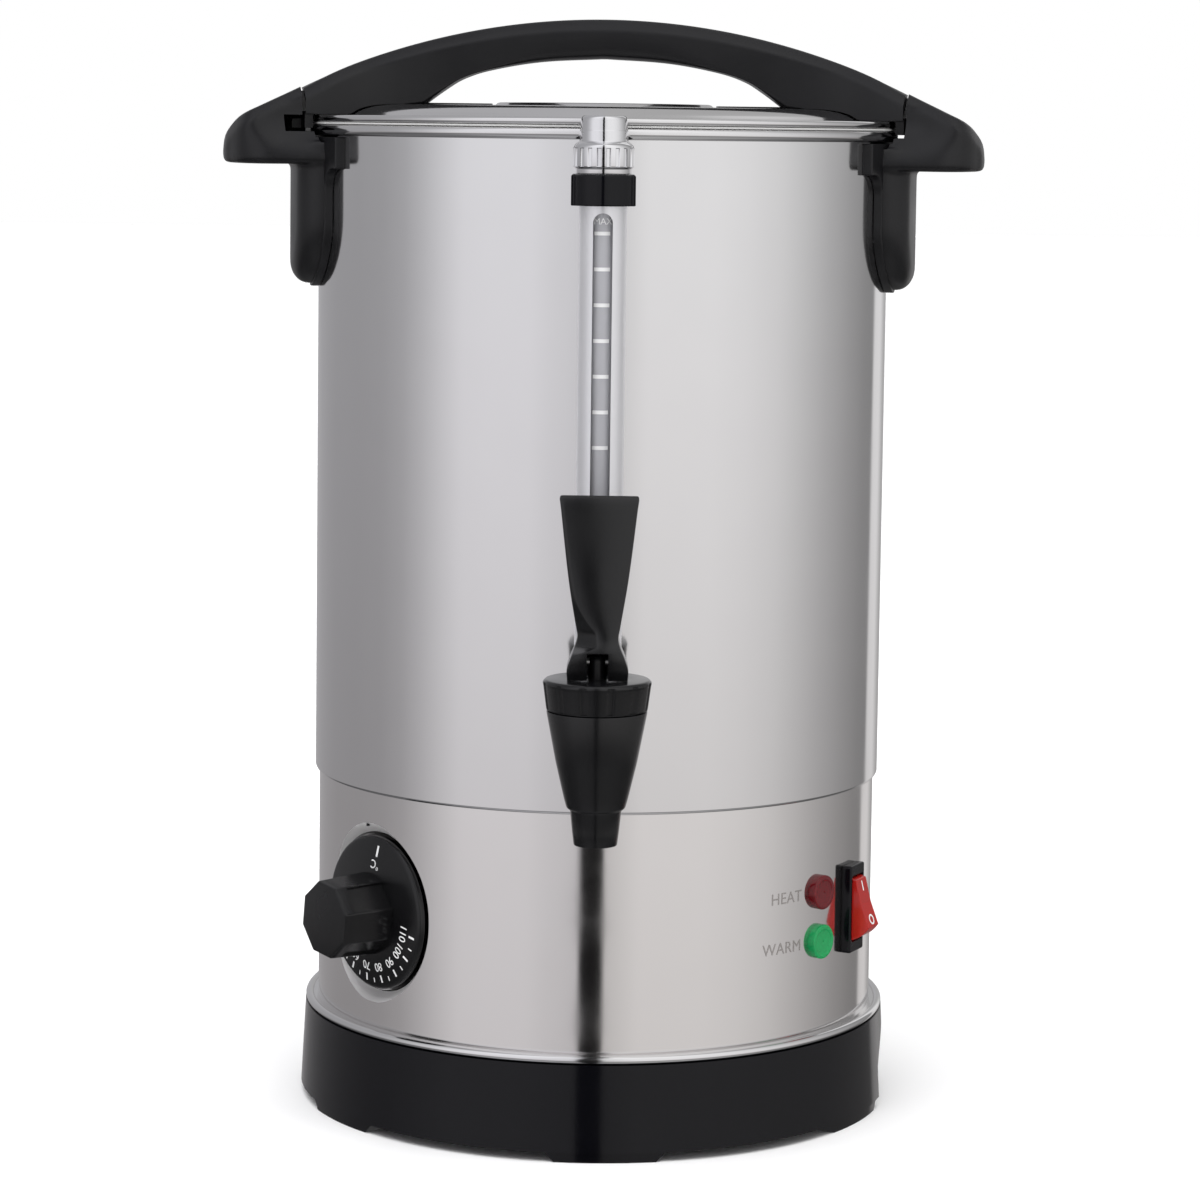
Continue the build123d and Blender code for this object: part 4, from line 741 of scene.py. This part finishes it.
SEAT_FLOOR = 152.0
COLLAR_TOP = 181.4
TEE_TOP = high("gauge_sleeve").z
barrel_line = softened([
    (5.2, SPOUT_Z), (7.7, SPOUT_Z), (8.3, SPOUT_Z + 5), (9.1, 138.0), (10.4, 138.8), (11.3, 142.0),
    (14.4, 155.2), (17.9, BONNET_LOW - 0.2), (15.3, BONNET_LOW - 0.2), (15.3, COLLAR_TOP), (11, COLLAR_TOP),
    (11, SEAT_FLOOR), (5.2, SEAT_FLOOR),
], 0.55, 2)
shank = [(4.5, 97), (8, 97), (8, 112), (14, 112), (14, 116.5), (9.5, 117.5), (8, 119), (8, 141), (4.5, 141)]
tee = [(3.5, 158), (8.6, 158), (8.6, TEE_TOP), (7.05, TEE_TOP), (7.05, 167), (3.5, 167)]
tap = joined(
    moved(lathe(barrel_line, 192), AT_TAP),
    moved(lathe(softened(shank, 0.5, 2), 96), facing(0, SEAT_FLOOR + 6)),
    moved(lathe(softened(tee, 0.4, 2), 96), Matrix.Translation((0, GAUGE_Y, 0))),
)
piece("tap_moulding", tap, tap_black, "kettle", ("tap_body",), 30)

SPRING_TURNS, TURN_STEPS, WIRE_STEPS = 6, 24, 10
SPRING_STEPS = SPRING_TURNS * TURN_STEPS
WIRE_R = 0.6
spring_low, spring_high = low("tap_spring").z, high("tap_spring").z
coil_r = high("tap_spring").x - WIRE_R
coil = []
for k in range(SPRING_STEPS + 1):
    a = 2 * math.pi * k / TURN_STEPS
    z = spring_low + WIRE_R + (spring_high - spring_low - 2 * WIRE_R) * k / SPRING_STEPS
    ring = []
    for i in range(WIRE_STEPS):
        t = 2 * math.pi * i / WIRE_STEPS
        r = coil_r + WIRE_R * math.cos(t)
        ring.append((r * math.cos(a), r * math.sin(a), z + WIRE_R * math.sin(t)))
    coil.append(ring)
spring = piece("spring", moved(lofted(coil), AT_TAP), zinc, "kettle", ("tap_spring",))
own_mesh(spring)

# ---- sight gauge -----------------------------------------------------------------------------
AT_GAUGE = Matrix.Translation((0, GAUGE_Y, 0))
CAP_TOP = high("gauge_cap").z
cap_line = softened([
    (0, 373.8), (5.6, 373.8), (5.6, 363.1), (8.6, 363.1), (8.6, 361.1), (10.2, 361.1), (10.2, 363.0),
    (10.9, 363.6), (10.9, 370.4), (10.4, 371.3), (9.6, 372.0), (8.75, 372.5), (8.6, 373.3), (8.6, 376.3),
    (8.45, 376.6),
    (8.25, CAP_TOP - 1.6), (8.0, CAP_TOP - 0.6), (7.3, CAP_TOP), (0, CAP_TOP),
], 0.35, 2)
cap = fluted(lathe(cap_line, 480), 20, 0.55, 0.30, 363.9, 370.2, 10.3)
piece("cap", moved(cap, AT_GAUGE), chrome, "kettle", ("gauge_cap",), 34)
moulded("clip", "gauge_clip", black_gloss, "kettle", 0.25, 3)
nodes["gauge_shield"].data.materials.clear()
nodes["gauge_shield"].data.materials.append(silver)


def patch(width, height, radius, z, middle=0.0, thick=0.12):
    """Small raised mark on the front of an upright round surface."""
    rings = []
    for k in range(9):
        a = (middle - width / 2 + width * k / 8) / radius
        rings.append([(r * math.sin(a), -r * math.cos(a), h) for r, h in (
            (radius - 0.05, z - height / 2), (radius + thick, z - height / 2),
            (radius + thick, z + height / 2), (radius - 0.05, z + height / 2))])
    return lofted(rings)


MARK_TOP, MARK_PITCH, MARK_COUNT = 340.1, 12.7, 7
marks = [patch(5.8, 1.35, 5.5, MARK_TOP - k * MARK_PITCH, -0.2) for k in range(MARK_COUNT)]
piece("level_marks", moved(joined(*marks), AT_GAUGE), print_white, "kettle")


# ---- lettering -------------------------------------------------------------------------------
def lettering(name, text, size, place, material, body, radius=None, spacing=1.0, thick=0.08,
              side="CENTER"):
    """Raised generic lettering; place is a matrix, or with a radius (angle from the tap, height)."""
    curve = bpy.data.curves.new(name, "FONT")
    curve.body = text
    curve.size = size
    curve.align_x = side
    curve.align_y = "CENTER"
    curve.space_character = spacing
    curve.resolution_u = 4
    curve.extrude = thick
    obj = bpy.data.objects.new(name, curve)
    bpy.context.scene.collection.objects.link(obj)
    graph = bpy.context.evaluated_depsgraph_get()
    mesh = bpy.data.meshes.new_from_object(obj.evaluated_get(graph))
    bpy.data.objects.remove(obj)
    for vertex in mesh.vertices:
        x, y, z = vertex.co
        if radius is None:
            vertex.co = (place @ Vector((x, y, z))) * MM
        else:
            a = math.radians(place[0]) + x / radius
            r = radius + z
            centre = place[2] if len(place) > 2 else 0.0
            vertex.co = Vector((r * math.sin(a), centre - r * math.cos(a), place[1] + y)) * MM
    made = bpy.data.objects.new(name, mesh)
    bpy.context.scene.collection.objects.link(made)
    return finished(made, material, body)


lettering("full_mark", "MAX", 3.3, (0, 344.3, GAUGE_Y), print_white, "kettle", 5.5, 0.95)
for label, height in (("heat", HEAT_LAMP_Z), ("warm", WARM_LAMP_Z)):
    lettering(f"{label}_label", label.upper(), 6.2, (45.6, height), etched, "kettle",
              HOUSING_R, 1.05, side="RIGHT")

# ---- dial ------------------------------------------------------------------------------------
DIAL_BACK = PAD_FACE + 0.3
SKIRT_FACE_R = 27.9                             # the skirt slopes up inside this
skirt = softened([
    (0, DIAL_BACK), (28.0, DIAL_BACK), (29.0, DIAL_BACK + 0.8), (29.0, DIAL_BACK + 2.6),
    (SKIRT_FACE_R, DIAL_BACK + 3.4),
    (15.5, DIAL_BACK + 5.2), (0, DIAL_BACK + 5.4)], 0.5, 2)
GRIP_START = DIAL_BACK + 4.5
GRIP_R = 15.6                                   # over the corners
GRIP_TURN = -6.5                                # degrees
GRIP_BROW = 5.0                                 # the scoops end this far behind the face
GRIP_TAPER = 0.0473
SCOOP, SCOOP_HALF = 0.9, 5.2


def grip_ring(depth, shrink, scoop):
    """Outline of the eight-sided grip, with every other side scooped."""
    corner_r = GRIP_R - (depth - GRIP_START) * GRIP_TAPER - shrink
    flat_r, half = corner_r * math.cos(math.pi / 8), corner_r * math.sin(math.pi / 8)
    outline = []
    for k in range(8):
        deep = scoop if k % 2 else 0.0
        side = [(flat_r, -half + 0.25), (flat_r, -SCOOP_HALF), (flat_r - deep, -SCOOP_HALF + deep * 0.25),
                (flat_r - deep, SCOOP_HALF - deep * 0.25), (flat_r, SCOOP_HALF), (flat_r, half - 0.25)]
        turn = Matrix.Rotation(math.radians(45 * k + GRIP_TURN), 4, "Z")
        outline += [turn @ Vector((x, y, depth)) for x, y in side]
    return outline


knob_rings = [grip_ring(GRIP_START - 1.0, 0, SCOOP), grip_ring(DIAL_FACE - GRIP_BROW - 0.5, 0, SCOOP)]
for behind, shrink in ((GRIP_BROW, 0), (0.75, 0), (0.3, 0.2), (0.08, 0.5), (0, 0.9)):
    knob_rings.append(grip_ring(DIAL_FACE - behind, shrink, 0))
knob = moved(joined(lathe(skirt, 192), lofted(knob_rings)), AT_DIAL)
piece("knob", knob, dial_black, "dial", ("dial_knob",), 30)


def on_dial(clock, radius):
    """Place on the dial's face: degrees clockwise from the top, text tops outwards."""
    a = math.radians(clock)
    slope = math.atan2(1.8, 12.4)
    lift = DIAL_BACK + 3.4 + (SKIRT_FACE_R - radius) * math.tan(slope) + 0.02
    outward = Vector((math.sin(a), math.cos(a), 0))
    up = (outward * math.cos(slope) - Vector((0, 0, 1)) * math.sin(slope)).normalized()
    along = Vector((math.cos(a), -math.sin(a), 0))
    place = Matrix((along, up, along.cross(up))).transposed().to_4x4()
    place.translation = outward * radius + Vector((0, 0, lift))
    return AT_DIAL @ place


DIAL_FIRST, DIAL_STEP = 102.6, 21.2             # degrees clockwise from the top
BAR_CLOCK = 7.5
for k, number in enumerate(range(110, 20, -10)):
    lettering(f"dial_{number}", str(number), 4.7, on_dial(DIAL_FIRST + k * DIAL_STEP, 20.4), print_white,
              "dial", spacing=0.95, thick=0.05)
flipped = Matrix.Rotation(math.pi, 4, "Z")
lettering("dial_c", "\u00b0C", 4.6, on_dial(BAR_CLOCK, 19.0) @ flipped, print_white, "dial",
          thick=0.05)
ticks = []
for k in range(17):
    size = (0.40, 1.4, 0.05) if k % 2 == 0 else (0.22, 0.9, 0.05)
    place = on_dial(DIAL_FIRST + k * DIAL_STEP / 2, 26.5 - size[1])
    ticks.append(moved(brick((-size[0], -size[1], -size[2]), size), place))
ticks.append(moved(brick((-0.5, -2.1, -0.05), (0.5, 2.1, 0.05)), on_dial(BAR_CLOCK, 24.0)))
piece("dial_ticks", joined(*ticks), print_white, "dial")
DOT_R, DOT_TOP = 0.55, HOUSING_R + 0.1
dot_line = [(0, HOUSING_R - 1), (DOT_R, HOUSING_R - 1), (DOT_R, DOT_TOP), (0, DOT_TOP)]
dot = lathe(softened(dot_line, 0.1, 2), 24)
piece("index_dot", moved(dot, facing(DIAL_ANGLE - 1.8, DIAL_Z + 33)), black_gloss, "kettle")

# ---- switch and lamps ------------------------------------------------------------------------
moulded("switch_case", "switch_body", black_gloss, "kettle", 0.25, 4)
moulded("rocker_moulding", "switch_rocker", switch_red, "rocker", 0.2, 2)
ROCKER_TILT, ROCKER_DISH = 17.5, 3.7             # degrees
ROCKER_FACE = 7.52                              # just above the valley, from the pivot
MARK_REACH = 6.6                                # of the marks above and below the valley
ON_ROCKER = facing(SWITCH_ANGLE, SWITCH_Z, HOUSING_R) @ Matrix.Rotation(math.radians(-ROCKER_TILT), 4, "X")


def on_rocker(height):
    """Place on the rocker's face, above or below its valley."""
    lean = math.copysign(math.radians(ROCKER_DISH), height)
    lift = Matrix.Translation((0, height, ROCKER_FACE + abs(height) * math.tan(abs(lean))))
    return ON_ROCKER @ lift @ Matrix.Rotation(lean, 4, "X")


on_bar = moved(brick((-0.35, -1.9, -0.05), (0.35, 1.9, 0.05)), on_rocker(MARK_REACH))
off_ring = moved(lathe([(1.35, -0.05), (2.0, -0.05), (2.0, 0.05), (1.35, 0.05)], 48), on_rocker(-MARK_REACH))
piece("rocker_marks", joined(on_bar, off_ring), print_white, "rocker")

LENS_R, LENS_PROUD = 6.5, 2.6
for name, height, material in (("heat_lamp", HEAT_LAMP_Z, red_lens), ("warm_lamp", WARM_LAMP_Z, green_lens)):
    rim = HOUSING_R + LENS_PROUD
    lens_line = softened([(0, HOUSING_R - 2), (LENS_R, HOUSING_R - 2), (LENS_R, rim), (LENS_R - 1.7, rim),
                          (LENS_R - 2.0, rim - 0.25), (0, rim - 0.25)], 0.7, 4)
    piece(name, moved(lathe(lens_line, 120), facing(LAMP_ANGLE, height)), material, "kettle",
          (name + "_lens",), 40)

# ---- camera, floor and light -----------------------------------------------------------------
CAMERA_DISTANCE = 1.453
CAMERA_HEIGHT = 0.3784
CAMERA_PITCH = 5.2                             # degrees down
CAMERA_ROLL = 0.716
camera_data = bpy.data.cameras.new("camera")
camera_data.lens = 112.1
camera_data.sensor_width = 36
camera_data.shift_y = -0.1125
camera_data.clip_start = 0.05
camera = bpy.data.objects.new("camera", camera_data)
bpy.context.scene.collection.objects.link(camera)
camera.location = (0, -CAMERA_DISTANCE, CAMERA_HEIGHT)
tilt = Matrix.Rotation(math.radians(90 - CAMERA_PITCH), 4, "X")
camera.rotation_euler = (tilt @ Matrix.Rotation(math.radians(CAMERA_ROLL), 4, "Z")).to_euler()
bpy.context.scene.camera = camera

floor_mesh = bpy.data.meshes.new("floor")
reach = 12.0
floor_mesh.from_pydata([(-reach, -reach, 0), (reach, -reach, 0), (reach, reach, 0), (-reach, reach, 0)],
                       [], [(0, 1, 2, 3)])
floor = bpy.data.objects.new("floor", floor_mesh)
bpy.context.scene.collection.objects.link(floor)
floor.data.materials.append(pale_floor)
floor.visible_glossy = False

# The studio seen from the kettle: brightness by direction round it, from behind the kettle,
# past its -X side, the camera at 0, its +X side, and behind again.
STUDIO = (
    (-180, 0.44), (-165, 0.43), (-150, 0.395), (-135, 0.37), (-115, 0.37), (-98, 0.39),
    (-86, 0.45), (-76, 0.57), (-66, 0.72), (-57, 0.84), (-46, 0.86), (-28, 0.86), (-20, 0.80), (-6.9, 0.74),
    (-6.4, 0.01), (3.0, 0.01), (3.5, 0.74), (10, 0.82), (18, 0.92), (45, 0.92), (60, 0.87), (75, 0.78),
    (90, 0.63), (102, 0.51), (118, 0.385), (132, 0.30), (142, 0.27), (145, 0.80), (154, 0.80),
    (163, 0.45), (172, 0.42), (180, 0.44),
)
world = bpy.data.worlds.new("studio")
bpy.context.scene.world = world
world.use_nodes = True
tree = world.node_tree
background = tree.nodes["Background"]
direction = node_of(tree, "ShaderNodeTexCoord")
parts = node_of(tree, "ShaderNodeSeparateXYZ")
tree.links.new(direction.outputs["Generated"], parts.inputs["Vector"])
toward = node_of(tree, "ShaderNodeMath", operation="MULTIPLY")
toward.inputs[1].default_value = -1
tree.links.new(parts.outputs["Y"], toward.inputs[0])
around = node_of(tree, "ShaderNodeMath", operation="ARCTAN2")
tree.links.new(parts.outputs["X"], around.inputs[0])
tree.links.new(toward.outputs[0], around.inputs[1])
ring = node_of(tree, "ShaderNodeValToRGB")
tree.links.new(ranged(tree, around.outputs[0], -math.pi, math.pi, 0, 1), ring.inputs["Fac"])
stops = ring.color_ramp.elements
for number, (angle, light) in enumerate(STUDIO):
    place = (angle + 180) / 360
    stop = stops[number] if number < 2 else stops.new(place)
    stop.position = place
    stop.color = (light, light * 0.995, light * (1.03 if angle < 0 else 1.0), 1)
height = node_of(tree, "ShaderNodeValToRGB")
tree.links.new(ranged(tree, parts.outputs["Z"], -1, 1, 0, 1), height.inputs["Fac"])
levels = height.color_ramp.elements
for number, (z, tint) in enumerate((
        (-0.95, (0.50, 0.50, 0.50)), (-0.6, (0.36, 0.36, 0.36)), (-0.42, (0.22, 0.22, 0.22)),
        (-0.28, (0.80, 0.78, 0.77)), (-0.10, (0.95, 0.94, 0.94)), (0.0, (1, 1, 1)), (0.35, (1, 1, 1)),
        (1.0, (1.15, 1.15, 1.15)))):
    place = (z + 1) / 2
    level = levels[number] if number < 2 else levels.new(place)
    level.position = place
    level.color = (*tint, 1)
both = node_of(tree, "ShaderNodeMix", data_type="RGBA", blend_type="MULTIPLY")
both.inputs[0].default_value = 1
tree.links.new(ring.outputs["Color"], both.inputs[6])
tree.links.new(height.outputs["Color"], both.inputs[7])
path = node_of(tree, "ShaderNodeLightPath")
seen = node_of(tree, "ShaderNodeMix", data_type="RGBA")
seen.inputs[7].default_value = (1, 1, 1, 1)
tree.links.new(path.outputs["Is Camera Ray"], seen.inputs[0])
tree.links.new(both.outputs[2], seen.inputs[6])
tree.links.new(seen.outputs[2], background.inputs["Color"])


def soft_box(name, place, target, size, watts):
    """Large soft lamp, aimed at a point, unseen by the camera."""
    data = bpy.data.lights.new(name, "AREA")
    data.shape = "RECTANGLE"
    data.size, data.size_y = size
    data.energy = watts
    lamp = bpy.data.objects.new(name, data)
    bpy.context.scene.collection.objects.link(lamp)
    lamp.location = place
    lamp.rotation_euler = (Vector(target) - Vector(place)).to_track_quat("-Z", "Y").to_euler()
    lamp.visible_camera = False
    return lamp


overhead = soft_box("overhead", (0, -0.2, 2.4), (0, 0, 0.2), (2.6, 2.6), 30)
overhead.visible_glossy = False
daylight_data = bpy.data.lights.new("daylight", "SUN")
daylight_data.energy = 2.0
daylight_data.angle = math.radians(70)
daylight = bpy.data.objects.new("daylight", daylight_data)
bpy.context.scene.collection.objects.link(daylight)
daylight.rotation_euler = (math.radians(12), math.radians(-8), 0)
daylight.visible_glossy = False

view = bpy.context.scene.view_settings
view.view_transform = "Standard"
view.look = "None"
